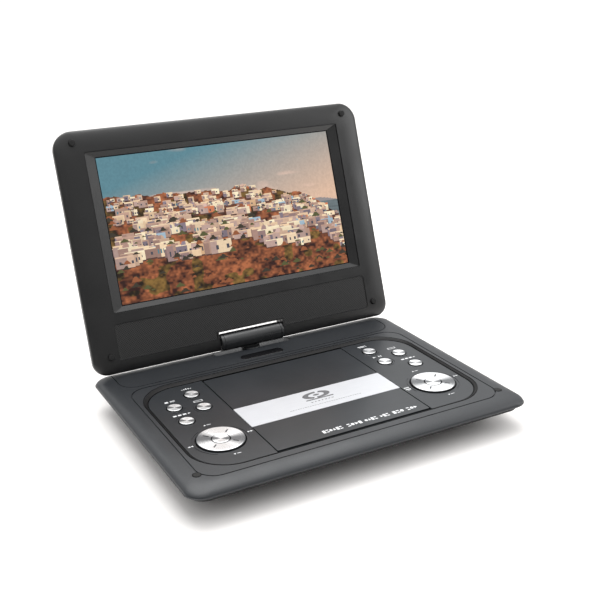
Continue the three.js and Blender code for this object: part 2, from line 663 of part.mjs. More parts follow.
function powerSwitch() {
  const y = playerDepth - switchSlot.setback - (switchSlot.length - switchKnob.length) / 2 + seatGap;
  const innerWallX = portFaceX - 2.6;
  const slider = box(innerWallX - 1.6, innerWallX, y - switchKnob.length / 2 - 4, y + switchKnob.length / 2 + 4,
    portZ - switchKnob.height / 2 - 0.8, portZ + switchKnob.height / 2 + 0.8);
  const knob = box(innerWallX - 0.5, portFaceX + 1.4 + switchKnob.proud, y - switchKnob.length / 2,
    y + switchKnob.length / 2, portZ - switchKnob.height / 2, portZ + switchKnob.height / 2);
  return join(slider, knob);
}

place(base, 'power_switch', powerSwitch(), 'mechanismPlastic');

// ---------- swivel: turntable post and hinge barrel, about a vertical axis ----------
swivel.position.set(0, swivelY, 0);
const seatZ = tiltAxisHeight - dishRadius;
place(swivel, 'swivel_post', turned([
  [0, rearCoverUnderside - seatGap - swivelFlangeThickness],
  [swivelFlangeRadius, rearCoverUnderside - seatGap - swivelFlangeThickness],
  [swivelFlangeRadius, rearCoverUnderside - seatGap], [swivelStemRadius, rearCoverUnderside - seatGap],
  [swivelStemRadius, seatZ + seatGap], [turntableRadius, seatZ + seatGap],
  [turntableRadius, tiltAxisHeight - barrelRadius - 0.4], [0, tiltAxisHeight - barrelRadius - 0.4],
], 0, 0, 24), 'blackMetal');

function hingeBarrel() {
  const half = barrelLength / 2;
  const tube = rodAlongX(barrelRadius, -half, half, 0, tiltAxisHeight, 32);
  return cut(tube, rodAlongX(tiltShaftRadius + runningGap, -half - 1, half + 1, 0, tiltAxisHeight, 16));
}

place(swivel, 'hinge_barrel', hingeBarrel(), 'blackMetal');

// ---------- screen half: its origin is on the tilt axis ----------
screen.position.set(0, swivelY, tiltAxisHeight);
screen.rotation.x = THREE.MathUtils.degToRad(90 - restTilt);

const bottomY = -axisAboveBottom;
const topY = screenHeight - axisAboveBottom;
const faceZ = axisBehindFace;
const backZ = axisBehindFace - screenThickness;
const seamZ = faceZ - bezelDepth;
const plateZ = faceZ - bezelPlate;
const screenRect = rect(-screenWidth / 2, screenWidth / 2, bottomY, topY,
  [bottomCornerRadius, bottomCornerRadius, topCornerRadius, topCornerRadius]);
const notchHalf = barrelLength / 2 + barrelGap;
const notchTop = barrelRadius + barrelGap;
const barrelNotch = box(-notchHalf, notchHalf, bottomY - 5, notchTop, backZ - 2, faceZ + 2);
const shaftHalf = barrelLength / 2 + tiltShaftReach;
const displayRect = rect(-displayWidth / 2, displayWidth / 2, bottomY + displayBottom,
  bottomY + displayBottom + displayHeight, 1);
const bevelRect = rect(displayRect.x0 - displayBevel[0], displayRect.x1 + displayBevel[0],
  displayRect.y0 - displayBevel[1], displayRect.y1 + displayBevel[1], 3);
const grilleRect = rect(-grilleWidth / 2, grilleWidth / 2, bottomY + grilleBottom,
  bottomY + grilleBottom + grilleHeight, 3);
const grilleNotch = box(-notchHalf - notchRim, notchHalf + notchRim, bottomY, notchTop + notchRim, plateZ - 1, faceZ + 1);
const screenBumperPlaces = sides.flatMap(([side, sign]) => [
  [`bottom_${side}`, sign * (screenWidth / 2 - screenBumperSide), bottomY + screenBumperEnds[0]],
  [`top_${side}`, sign * (screenWidth / 2 - screenBumperSide), topY - screenBumperEnds[1]],
]);

function screenBezel() {
  const blank = loft([
    { r: screenRect, z: seamZ },
    { r: screenRect, z: faceZ - bezelEdge },
    { r: inset(screenRect, bezelEdge * 0.3), z: faceZ - bezelEdge * 0.3 },
    { r: inset(screenRect, bezelEdge), z: faceZ },
  ]);
  const hollow = slab(inset(screenRect, 2), seamZ - 1, plateZ);
  const displayOpening = loft([
    { r: displayRect, z: seamZ - 1 },
    { r: displayRect, z: plateZ + 0.3 },
    { r: bevelRect, z: faceZ },
    { r: bevelRect, z: faceZ + 1 },
  ], 3);
  const grilleSeat = cut(slab(grilleRect, faceZ - grilleSink - grilleThickness - seatGap, faceZ + 1, 3), grilleNotch);
  const ledgeNotch = box(-notchHalf - notchRim - grilleLedge, notchHalf + notchRim + grilleLedge, bottomY,
    notchTop + notchRim + grilleLedge, plateZ - 2, faceZ + 1);
  const grilleThrough = cut(slab(inset(grilleRect, grilleLedge), seamZ - 1, faceZ, 3), ledgeNotch);
  const bumperSeats = screenBumperPlaces.map(([, x, y]) => (
    disc(screenBumperRadius + seatGap, x, y, faceZ - 1.5, faceZ + 1, 14)));
  return cut(blank, hollow, displayOpening, grilleSeat, grilleThrough, barrelNotch, ...bumperSeats);
}

function screenBack() {
  const front = seamZ - seatGap;
  const levels = [];
  for (let i = 0; i <= backEdgeSteps; i += 1) {
    const angle = (Math.PI / 2) * (i / backEdgeSteps);
    levels.push({ r: inset(screenRect, backEdge * (1 - Math.sin(angle))), z: backZ + backEdge * (1 - Math.cos(angle)) });
  }
  const outer = loft([...levels, { r: screenRect, z: front }]);
  const hollow = loft([
    { r: inset(screenRect, backEdge + 0.6), z: backZ + backWall },
    { r: inset(screenRect, 2.5), z: backZ + backEdge - 0.6 },
    { r: inset(screenRect, 2), z: front + 1 },
  ]);
  const lugReach = tiltShaftReach + 2;
  const hingeBlock = box(-barrelLength / 2 - lugReach, barrelLength / 2 + lugReach, bottomY, 5, backZ, front + 2);
  const notchWall = box(-notchHalf - 2, notchHalf + 2, bottomY, notchTop + 2, backZ, front + 2);
  const shaftBore = rodAlongX(tiltShaftRadius + seatGap, -shaftHalf - 0.4, shaftHalf + 0.4, 0, 0, 16);
  return cut(outer, cut(hollow, hingeBlock, notchWall), barrelNotch, shaftBore);
}

place(screen, 'screen_back_shell', screenBack(), 'satinBlack');
place(screen, 'screen_bezel', screenBezel(), 'satinBlack');
place(screen, 'display_panel', slab(rect(displayRect.x0 - displayHidden[0], displayRect.x1 + displayHidden[0],
  displayRect.y0 - displayHidden[1], displayRect.y1 + displayHidden[1], 1),
plateZ - seatGap - displayGlassThickness, plateZ - seatGap, 2), 'displayGlass');
place(screen, 'display_board', slab(rect(-50, 50, displayRect.y0 + 15, displayRect.y1 - 25, 2),
  plateZ - 2 * seatGap - displayGlassThickness - 1.4, plateZ - 2 * seatGap - displayGlassThickness, 3), 'boardGreen');
place(screen, 'speaker_grille', cut(slab(inset(grilleRect, seatGap), faceZ - grilleSink - grilleThickness,
  faceZ - grilleSink, 3), box(-notchHalf - notchRim - seatGap, notchHalf + notchRim + seatGap, bottomY,
  notchTop + notchRim + seatGap, faceZ - 4, faceZ + 1)), 'grilleMesh');
sides.forEach(([side, sign]) => {
  const y = bottomY + grilleBottom + grilleHeight / 2;
  const speaker = turned([[0, backZ + backWall + seatGap], [speakerRadius - 3, backZ + backWall + seatGap],
    [speakerRadius, plateZ - 2.4], [speakerRadius, plateZ - seatGap], [speakerRadius - 2, plateZ - seatGap],
    [0, plateZ - 2.6]], sign * speakerOffset, y, 20);
  place(screen, `speaker_${side}`, speaker, 'coneBlack');
});
screenBumperPlaces.forEach(([name, x, y]) => {
  const bumper = turned([[0, faceZ - 1.2], [screenBumperRadius, faceZ - 1.2],
    [screenBumperRadius, faceZ + screenBumperProud], [0, faceZ + screenBumperProud]], x, y, 14);
  place(screen, `screen_bumper_${name}`, bumper, 'rubber');
});
place(screen, 'tilt_shaft', rodAlongX(tiltShaftRadius, -shaftHalf, shaftHalf, 0, 0, 16), 'steel');

// the origin is on the floor, under the middle of the whole player
player.updateMatrixWorld(true);
const bounds = new THREE.Box3().setFromObject(player, true);
const shift = -(bounds.min.y + bounds.max.y) / 2;
[base, swivel, screen].forEach((group) => { group.position.y += shift; });

export default player;
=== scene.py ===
import json
import math

import bmesh
import bpy
import numpy as np
from mathutils import Matrix, Vector


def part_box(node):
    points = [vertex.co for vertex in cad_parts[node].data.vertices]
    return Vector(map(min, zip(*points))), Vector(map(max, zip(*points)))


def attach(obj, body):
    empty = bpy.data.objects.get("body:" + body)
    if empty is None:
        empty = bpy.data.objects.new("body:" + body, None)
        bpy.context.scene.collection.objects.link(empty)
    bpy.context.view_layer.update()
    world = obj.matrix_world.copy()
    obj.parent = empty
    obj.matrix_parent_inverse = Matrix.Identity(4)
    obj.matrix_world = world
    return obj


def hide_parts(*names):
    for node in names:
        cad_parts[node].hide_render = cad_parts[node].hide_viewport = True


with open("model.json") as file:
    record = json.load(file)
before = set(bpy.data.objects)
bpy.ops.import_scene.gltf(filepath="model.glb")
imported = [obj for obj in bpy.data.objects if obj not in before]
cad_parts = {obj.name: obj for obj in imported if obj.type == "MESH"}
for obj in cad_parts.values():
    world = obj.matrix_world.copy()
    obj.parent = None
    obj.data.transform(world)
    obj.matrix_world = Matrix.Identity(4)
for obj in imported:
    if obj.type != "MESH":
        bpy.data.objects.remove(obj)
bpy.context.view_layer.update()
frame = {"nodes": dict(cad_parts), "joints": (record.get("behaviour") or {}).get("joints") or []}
mm = 0.001
joints = {joint["name"]: joint for joint in frame["joints"]}

# working places: the base from the rim's front edge, the lid from its tilt axis
rimLow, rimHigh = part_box("top_cover")
playerWidth = (rimHigh.x - rimLow.x) / mm
playerDepth = (rimHigh.y - rimLow.y) / mm
halfWidth = playerWidth / 2
coverTop = rimHigh.z / mm
tiltJoint = joints["screen_tilt"]
lidTurn = math.radians(180 + tiltJoint["range_deg"][0])  # the lid lies face down at the joint's lower limit
atBase = Matrix.Translation((0, rimLow.y, 0))
atTiltAxis = Matrix.Translation(tiltJoint["pos_m"])
atLid = atTiltAxis @ Matrix.Rotation(lidTurn, 4, "X")
swivelY = (tiltJoint["pos_m"][1] - rimLow.y) / mm
alongX = Matrix.Rotation(math.pi / 2, 4, "Y")


# plans are rectangles with round corners, in millimetres
def plan(x0, x1, y0, y1, radii=0.0):
    # radii go front left, front right, back right, back left
    if not isinstance(radii, (tuple, list)):
        radii = (radii,) * 4
    return {"x": (x0, x1), "y": (y0, y1), "radii": tuple(radii)}


def inset(outer, by, radiusBy=0.0):
    (x0, x1), (y0, y1) = outer["x"], outer["y"]
    radii = [max(radius - radiusBy, 0.2) for radius in outer["radii"]]
    return plan(x0 + by, x1 - by, y0 + by, y1 - by, radii)


def planOf(node, radii=0.0):
    low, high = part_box(node)
    shift = rimLow.y
    return plan(low.x / mm, high.x / mm, (low.y - shift) / mm, (high.y - shift) / mm, radii)


def outlinePoints(shape, steps=14):
    (x0, x1), (y0, y1) = shape["x"], shape["y"]
    frontLeft, frontRight, backRight, backLeft = shape["radii"]
    corners = [
        (x1 - frontRight, y0 + frontRight, frontRight, -90),
        (x1 - backRight, y1 - backRight, backRight, 0),
        (x0 + backLeft, y1 - backLeft, backLeft, 90),
        (x0 + frontLeft, y0 + frontLeft, frontLeft, 180),
    ]
    points = []
    for cornerX, cornerY, radius, start in corners:
        count = steps if radius > 0 else 0
        for i in range(count + 1):
            angle = math.radians(start + (90 * i / count if count else 0))
            points.append((cornerX + radius * math.cos(angle), cornerY + radius * math.sin(angle)))
    return points


def skin(bm, lower, upper):
    count = len(lower)
    for i in range(count):
        j = (i + 1) % count
        bm.faces.new((lower[i], lower[j], upper[j], upper[i]))


def loft(levels, steps=14):
    bm = bmesh.new()
    rings = []
    for shape, z in levels:
        rings.append([bm.verts.new((x * mm, y * mm, z * mm)) for x, y in outlinePoints(shape, steps)])
    for lower, upper in zip(rings, rings[1:]):
        skin(bm, lower, upper)
    bm.faces.new(list(reversed(rings[0])))
    bm.faces.new(rings[-1])
    return bm


def slab(shape, z0, z1, steps=14):
    return loft([(shape, z0), (shape, z1)], steps)


def softSlab(shape, z0, z1, edge, steps=14, rounds=4):
    # a plate whose upper edge is rounded over
    levels = [(shape, z0)]
    for i in range(rounds + 1):
        angle = math.pi / 2 * i / rounds
        levels.append((inset(shape, edge * (1 - math.cos(angle)), edge * (1 - math.cos(angle))),
                       z1 - edge + edge * math.sin(angle)))
    return loft(levels, steps)


def turned(profile, sides=72, closed=False):
    # profile is (radius, height) points, spun about the vertical
    bm = bmesh.new()
    rings = []
    for radius, z in profile:
        if radius <= 0:
            rings.append([bm.verts.new((0, 0, z * mm))])
            continue
        ring = []
        for i in range(sides):
            angle = 2 * math.pi * i / sides
            ring.append(bm.verts.new((radius * math.cos(angle) * mm, radius * math.sin(angle) * mm, z * mm)))
        rings.append(ring)
    pairs = list(zip(rings, rings[1:]))
    if closed:
        pairs.append((rings[-1], rings[0]))
    for lower, upper in pairs:
        for i in range(sides):
            j = (i + 1) % sides
            corners = [lower[i % len(lower)], lower[j % len(lower)],
                       upper[j % len(upper)], upper[i % len(upper)]]
            face = list(dict.fromkeys(corners))  # a ring that is one point gives triangles
            if len(face) > 2:
                bm.faces.new(face)
    return bm


def rod(radius, z0, z1, sides=48):
    return turned([(0, z0), (radius, z0), (radius, z1), (0, z1)], sides)


def arcProfile(centreRadius, centreZ, radius, start, end, count=5):
    points = []
    for i in range(count + 1):
        angle = math.radians(start + (end - start) * i / count)
        points.append((centreRadius + radius * math.cos(angle), centreZ + radius * math.sin(angle)))
    return points


def sector(x, y, inner, outer, start, end, z0, z1, count=24):
    # a closed slice of a ring, used to cut a curved groove or to print a curved line
    bm = bmesh.new()
    rings = []
    for i in range(count + 1):
        angle = math.radians(start + (end - start) * i / count)
        c, s = math.cos(angle), math.sin(angle)
        corners = [(inner, z0), (outer, z0), (outer, z1), (inner, z1)]
        rings.append([bm.verts.new(((x + r * c) * mm, (y + r * s) * mm, z * mm)) for r, z in corners])
    for lower, upper in zip(rings, rings[1:]):
        skin(bm, lower, upper)
    bm.faces.new(rings[0])
    bm.faces.new(list(reversed(rings[-1])))
    return bm


def block(x0, x1, y0, y1, z0, z1):
    return slab(plan(x0, x1, y0, y1), z0, z1)


def asObject(name, bm, place):
    bmesh.ops.recalc_face_normals(bm, faces=bm.faces)
    mesh = bpy.data.meshes.new(name)
    bm.to_mesh(mesh)
    bm.free()
    piece = bpy.data.objects.new(name, mesh)
    bpy.context.scene.collection.objects.link(piece)
    piece.matrix_world = place
    return piece


def settle(piece):
    bpy.context.view_layer.update()
    graph = bpy.context.evaluated_depsgraph_get()
    mesh = bpy.data.meshes.new_from_object(piece.evaluated_get(graph))
    old = piece.data
    piece.modifiers.clear()
    piece.data = mesh
    bpy.data.meshes.remove(old)


def carveWith(piece, cutters, operation="DIFFERENCE"):
    # cutters are objects, removed once they have been used
    for cutter in cutters:
        step = piece.modifiers.new("carve", "BOOLEAN")
        step.object = cutter
        step.operation = operation
        step.solver = "EXACT"
    settle(piece)
    for cutter in cutters:
        bpy.data.objects.remove(cutter)


def carve(piece, tools, operation="DIFFERENCE"):
    # tools are (mesh, place) pairs
    carveWith(piece, [asObject("cutter", bm, place) for bm, place in tools], operation)


def darkBelow(piece, material, height):
    # below its bright face a key's side and flange take the dark finish, a painted shade for the gap round
    # it; only its face is bright
    piece.data.materials.append(material)
    for face in piece.data.polygons:
        if face.center.z < height * mm:
            face.material_index = 1


edgeParts = {"bevelAngle": 38, "rounds": 2, "mergeWithin": 0.004, "dropUnder": 0.002, "flatWeight": 80}


def addSoftEdge(piece, width, angle):
    soften = piece.modifiers.new("soften", "BEVEL")
    soften.width = width * mm
    soften.segments = edgeParts["rounds"]
    soften.limit_method = "ANGLE"
    soften.angle_limit = math.radians(angle)


def finishPiece(piece, material, body, nodes=(), edge=0.0, sharp=32):
    if edge:
        addSoftEdge(piece, edge, edgeParts["bevelAngle"])
        settle(piece)
        # slivers that the bevel leaves are merged, so the piece stays closed
        clean = bmesh.new()
        clean.from_mesh(piece.data)
        bmesh.ops.remove_doubles(clean, verts=clean.verts, dist=edgeParts["mergeWithin"] * mm)
        bmesh.ops.dissolve_degenerate(clean, edges=clean.edges, dist=edgeParts["dropUnder"] * mm)
        clean.to_mesh(piece.data)
        clean.free()
    mesh = piece.data
    mesh.materials.clear()
    mesh.materials.append(material)
    mesh.polygons.foreach_set("use_smooth", [True] * len(mesh.polygons))
    mesh.set_sharp_from_angle(angle=math.radians(sharp))
    weigh = piece.modifiers.new("weigh", "WEIGHTED_NORMAL")  # large flat faces stay flat beside round edges
    weigh.keep_sharp = True
    weigh.weight = edgeParts["flatWeight"]
    settle(piece)
    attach(piece, body)
    if nodes:
        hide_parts(*nodes)
    return piece


# finishes: each material is mixed once here and used by its name
class NodeBoard:
    # a small helper that adds and joins the nodes of one material
    def __init__(self, name):
        self.material = bpy.data.materials.new(name)
        self.material.use_nodes = True
        self.nodes = self.material.node_tree.nodes
        self.links = self.material.node_tree.links
        self.shader = self.nodes["Principled BSDF"]
        self.coords = self.nodes.new("ShaderNodeTexCoord").outputs["Object"]

    def add(self, kind, **values):
        node = self.nodes.new(kind)
        for key, value in values.items():
            setattr(node, key, value)
        return node

    def join(self, source, target):
        self.links.new(source, target)

    def setShader(self, **values):
        for key, value in values.items():
            socket = self.shader.inputs[key.replace("_", " ")]
            socket.default_value = (*value, 1) if isinstance(value, tuple) else value

    def noise(self, scale, detail=3.0, stretch=None):
        node = self.add("ShaderNodeTexNoise")
        node.inputs["Scale"].default_value = scale
        node.inputs["Detail"].default_value = detail
        source = self.coords
        if stretch:
            mapping = self.add("ShaderNodeMapping")
            mapping.inputs["Scale"].default_value = stretch
            self.join(self.coords, mapping.inputs["Vector"])
            source = mapping.outputs["Vector"]
        self.join(source, node.inputs["Vector"])
        return node.outputs["Fac"]

    def paint(self, source, stops):
        self.join(self.ramp(source, stops), self.shader.inputs["Base Color"])

    def sheen(self, source, low, high):
        self.join(self.spread(source, low, high), self.shader.inputs["Roughness"])

    def ramp(self, source, stops):
        node = self.add("ShaderNodeValToRGB")
        elements = node.color_ramp.elements
        elements[0].position, elements[1].position = stops[0][0], stops[-1][0]
        elements[0].color, elements[1].color = (*stops[0][1], 1), (*stops[-1][1], 1)
        for position, color in stops[1:-1]:
            elements.new(position).color = (*color, 1)
        self.join(source, node.inputs["Fac"])
        return node.outputs["Color"]

    def spread(self, source, low, high, start=0.3, end=0.7):
        node = self.add("ShaderNodeMapRange")
        node.inputs["From Min"].default_value = start
        node.inputs["From Max"].default_value = end
        node.inputs["To Min"].default_value = low
        node.inputs["To Max"].default_value = high
        self.join(source, node.inputs["Value"])
        return node.outputs["Result"]

    def math(self, operation, a, b=None):
        node = self.add("ShaderNodeMath", operation=operation)
        for slotIndex, value in enumerate((a, b)):
            if value is None:
                continue
            if isinstance(value, (int, float)):
                node.inputs[slotIndex].default_value = value
            else:
                self.join(value, node.inputs[slotIndex])
        return node.outputs["Value"]

    def bump(self, source, strength, depth):
        node = self.add("ShaderNodeBump")
        node.inputs["Strength"].default_value = strength
        node.inputs["Distance"].default_value = depth
        self.join(source, node.inputs["Height"])
        self.join(node.outputs["Normal"], self.shader.inputs["Normal"])


satinParts = {"fleckStops": (0.38, 0.66), "cloudScale": 38, "uneven": 0.05, "reliefDepth": 0.00006}


def satinPlastic(name, dark, light, roughness, grain=2600, relief=0.16, gloss=0.35):
    # moulded plastic with a fine fleck and a slightly uneven sheen
    board = NodeBoard(name)
    fleck = board.noise(grain, 2.0)
    cloud = board.noise(satinParts["cloudScale"], 4.0)
    low, high = satinParts["fleckStops"]
    uneven = satinParts["uneven"]
    board.paint(fleck, [(low, dark), (high, light)])
    board.sheen(cloud, roughness - uneven, roughness + uneven)
    board.bump(fleck, relief, satinParts["reliefDepth"])
    board.setShader(Specular_IOR_Level=gloss)
    return board.material


glossParts = {
    "waveScale": 22, "waveRelief": 0.05, "waveDepth": 0.0002, "hairScale": 420,
    "hairStretch": (0.25, 9.0, 1.0),
    "shinier": 0.03, "duller": 0.06, "coatRoughness": 0.06,
}


def glossPlastic(name, dark, light, roughness, coat=0.4, gloss=0.35):
    # polished plastic: nearly flat, with a faint waviness and hairline wear
    board = NodeBoard(name)
    wave = board.noise(glossParts["waveScale"], 3.0)
    hair = board.noise(glossParts["hairScale"], 2.0, glossParts["hairStretch"])
    board.paint(wave, [(0.3, dark), (0.7, light)])
    board.sheen(hair, roughness - glossParts["shinier"], roughness + glossParts["duller"])
    board.bump(wave, glossParts["waveRelief"], glossParts["waveDepth"])
    board.setShader(Specular_IOR_Level=gloss, Coat_Weight=coat, Coat_Roughness=glossParts["coatRoughness"])
    return board.material


# the axis and the colour stops place a painted reflection in the base colour: dark wedges along the axis,
# bright elsewhere
turnedParts = {
    "axis": (0.878, -0.4785), "lineScale": 5200, "streak": 0.09, "paintedReflection": (0.1, 0.62, 0.97),
    "shinier": 0.06, "duller": 0.08, "relief": 0.12, "reliefDepth": 0.00003, "metallic": 0.6,
    "anisotropy": 0.6,
}


def turnedMetal(name, bright, paintedDarkColour, roughness):
    # metal spun on a lathe: hairlines run round it, and the base colour holds a painted reflection, bright
    # round most of the ring and dark in two wedges along a fixed axis
    board = NodeBoard(name)
    axisX, axisY = turnedParts["axis"]
    parts = board.add("ShaderNodeSeparateXYZ")
    board.join(board.coords, parts.inputs["Vector"])
    x, y = parts.outputs["X"], parts.outputs["Y"]
    squares = board.math("ADD", board.math("MULTIPLY", x, x), board.math("MULTIPLY", y, y))
    radius = board.math("SQRT", squares)
    along = board.math("ADD", board.math("MULTIPLY", x, axisX), board.math("MULTIPLY", y, axisY))
    nearZero = 1e-9  # keeps the centre from dividing by nothing
    share = board.math("DIVIDE", board.math("MULTIPLY", along, along), board.math("ADD", squares, nearZero))
    rings = board.add("ShaderNodeTexNoise", noise_dimensions="1D")
    rings.inputs["Scale"].default_value = turnedParts["lineScale"]
    rings.inputs["Detail"].default_value = 2
    board.join(radius, rings.inputs["W"])
    lines = rings.outputs["Fac"]
    streak = board.spread(lines, -turnedParts["streak"], turnedParts["streak"])
    # painted reflection: the base colour turns dark near the fixed axis and stays bright across it, broken by
    # the hairlines
    paintedReflection = board.math("ADD", share, streak)
    start, middle, end = turnedParts["paintedReflection"]
    board.paint(paintedReflection, [(start, bright), (middle, bright), (end, paintedDarkColour)])
    board.sheen(lines, roughness - turnedParts["shinier"], roughness + turnedParts["duller"])
    tangent = board.add("ShaderNodeTangent", direction_type="RADIAL", axis="Z")
    board.join(tangent.outputs["Tangent"], board.shader.inputs["Tangent"])
    board.bump(lines, turnedParts["relief"], turnedParts["reliefDepth"])
    board.setShader(Metallic=turnedParts["metallic"], Anisotropic=turnedParts["anisotropy"])
    return board.material


metalParts = {"shinier": 0.07, "duller": 0.09, "relief": 0.08, "reliefDepth": 0.00005}


def plainMetal(name, dark, light, roughness, stretch=(1, 1, 1), scale=900, metallic=1.0):
    board = NodeBoard(name)
    lines = board.noise(scale, 3.0, stretch)
    board.paint(lines, [(0.3, dark), (0.7, light)])
    board.sheen(lines, roughness - metalParts["shinier"], roughness + metalParts["duller"])
    board.bump(lines, metalParts["relief"], metalParts["reliefDepth"])
    board.setShader(Metallic=metallic)
    return board.material


rubberParts = {
    "grainScale": 1900, "roughness": (0.6, 0.82), "relief": 0.3, "reliefDepth": 0.00008, "gloss": 0.3,
}


def softRubber(name, dark, light):
    board = NodeBoard(name)
    grain = board.noise(rubberParts["grainScale"], 4.0)
    board.paint(grain, [(0.35, dark), (0.7, light)])
    board.sheen(grain, *rubberParts["roughness"])
    board.bump(grain, rubberParts["relief"], rubberParts["reliefDepth"])
    board.setShader(Specular_IOR_Level=rubberParts["gloss"])
    return board.material


circuitParts = {
    "cellScale": 420, "random": 0.75, "roughness": (0.28, 0.6), "relief": 0.2, "reliefDepth": 0.0001,
    "stops": [(0.0, (0.55, 0.42, 0.16)), (0.16, (0.5, 0.4, 0.2)), (0.2, (0.012, 0.11, 0.045)),
              (1.0, (0.02, 0.17, 0.07))],
}


def circuitBoard(name):
    # green board with copper runs and pads
    board = NodeBoard(name)
    cells = board.add("ShaderNodeTexVoronoi", distance="MANHATTAN", feature="F1")
    cells.inputs["Scale"].default_value = circuitParts["cellScale"]
    cells.inputs["Randomness"].default_value = circuitParts["random"]
    board.join(board.coords, cells.inputs["Vector"])
    board.paint(cells.outputs["Distance"], circuitParts["stops"])
    board.sheen(cells.outputs["Distance"], *circuitParts["roughness"])
    board.bump(cells.outputs["Distance"], circuitParts["relief"], circuitParts["reliefDepth"])
    return board.material


grilleParts = {
    "pitch": 2.0, "dip": 0.34, "bend": 4, "flatRim": 0.5, "thickness": 1, "gap": 0.3,
    "holeShadeStops": [(0.0, (0.034, 0.034, 0.034)), (0.2, (0.020, 0.020, 0.020)), (0.5, (0.001, 0.001, 0.001))],
    "grainScale": 1200, "roughness": (0.42, 0.6), "gloss": 0.3,
}


def speakerWeave(name):
    # pressed black mesh: small holes in staggered rows, each drawn as a dip with a near-black spot of painted
    # shade
    board = NodeBoard(name)
    parts = board.add("ShaderNodeSeparateXYZ")
    board.join(board.coords, parts.inputs["Vector"])
    turn = 2 * math.pi / (grilleParts["pitch"] * mm)
    wave = board.math("MULTIPLY", board.math("COSINE", board.math("MULTIPLY", parts.outputs["X"], turn)),
                      board.math("COSINE", board.math("MULTIPLY", parts.outputs["Y"], turn)))
    # painted shade: near black at the dips where the holes are, lighter between them
    board.paint(wave, grilleParts["holeShadeStops"])
    board.sheen(board.noise(grilleParts["grainScale"], 2.0), *grilleParts["roughness"])
    board.setShader(Specular_IOR_Level=grilleParts["gloss"])
    return board.material


screenParts = {
    "dotScale": 3000, "dotTint": 0.12, "dotDark": (0.75, 0.75, 0.75), "glass": (0.008, 0.009, 0.011),
    "roughness": (0.16, 0.2), "glow": 1.0, "gloss": 0.14,
}


def pictureScreen(name):
    # the lit picture comes from the panel's own colour layer, under a glossy front
    board = NodeBoard(name)
    layer = board.add("ShaderNodeVertexColor", layer_name="picture")
    dots = board.noise(screenParts["dotScale"], 1.0)
    tint = board.add("ShaderNodeMix", data_type="RGBA", blend_type="MULTIPLY")
    tint.inputs["Factor"].default_value = screenParts["dotTint"]
    board.join(layer.outputs["Color"], tint.inputs["A"])
    board.join(board.ramp(dots, [(0.3, screenParts["dotDark"]), (0.7, (1, 1, 1))]), tint.inputs["B"])
    board.join(tint.outputs["Result"], board.shader.inputs["Emission Color"])
    board.sheen(dots, *screenParts["roughness"])
    board.setShader(Base_Color=screenParts["glass"], Emission_Strength=screenParts["glow"],
                    Specular_IOR_Level=screenParts["gloss"])
    return board.material


finishes = {
    "cover": satinPlastic("cover satin", (0.017, 0.019, 0.022), (0.028, 0.031, 0.035), 0.40, gloss=0.45),
    "lid": satinPlastic("lid satin", (0.005, 0.005, 0.005), (0.011, 0.011, 0.0115), 0.36, gloss=0.58),
    "shell": satinPlastic("tub plastic", (0.010, 0.010, 0.011), (0.019, 0.019, 0.020), 0.55, 1500, 0.3),
    "panel": glossPlastic("panel gloss", (0.018, 0.021, 0.024), (0.025, 0.028, 0.032), 0.31, 0.05, 0.42),
    # near black, used as painted shade on the cover's lip and sunk lines
    "recessShade": satinPlastic("recess black", (0.004, 0.004, 0.0045), (0.009, 0.009, 0.0095), 0.5, gloss=0.2),
    "black": glossPlastic("badge black", (0.004, 0.004, 0.005), (0.009, 0.009, 0.010), 0.14),
    "strip": plainMetal("strip silver", (0.52, 0.53, 0.555), (0.60, 0.61, 0.635), 0.38, (0.4, 30, 1), 160,
                        0.2),
    # the key's two colours are a painted reflection: bright round the ring, painted dark in two wedges
    "key": turnedMetal("key silver", (0.86, 0.87, 0.88), (0.12, 0.124, 0.13), 0.30),
    "rubber": softRubber("bumper rubber", (0.006, 0.006, 0.006), (0.02, 0.02, 0.02)),
    "hinge": satinPlastic("hinge satin", (0.012, 0.013, 0.014), (0.024, 0.025, 0.027), 0.3, 1800, 0.1, 0.6),
    "steel": plainMetal("rod steel", (0.42, 0.43, 0.44), (0.60, 0.61, 0.62), 0.25, (1, 20, 20)),
    "motor": plainMetal("motor can", (0.46, 0.47, 0.48), (0.62, 0.63, 0.63), 0.34, (1, 1, 14)),
    "zinc": plainMetal("chassis zinc", (0.34, 0.36, 0.38), (0.52, 0.53, 0.55), 0.45, (1, 1, 1), 260, 0.9),
    "inner": satinPlastic("inner plastic", (0.012, 0.012, 0.013), (0.024, 0.024, 0.026), 0.5, 1400, 0.25),
    "lens": glossPlastic("lens glass", (0.02, 0.035, 0.10), (0.06, 0.09, 0.22), 0.07, 1.0, 0.8),
    "board": circuitBoard("green board"),
    "battery": glossPlastic("battery wrap", (0.02, 0.05, 0.13), (0.03, 0.08, 0.19), 0.3),
    "cone": softRubber("speaker cone", (0.008, 0.008, 0.008), (0.03, 0.03, 0.03)),
    "grille": speakerWeave("grille mesh"),
    "screen": pictureScreen("lit screen"),
    "ink": softRubber("white ink", (0.62, 0.63, 0.64), (0.78, 0.79, 0.80)),
    "greyInk": softRubber("grey ink", (0.10, 0.10, 0.105), (0.16, 0.16, 0.165)),
}
print("finishes made:", len(finishes))

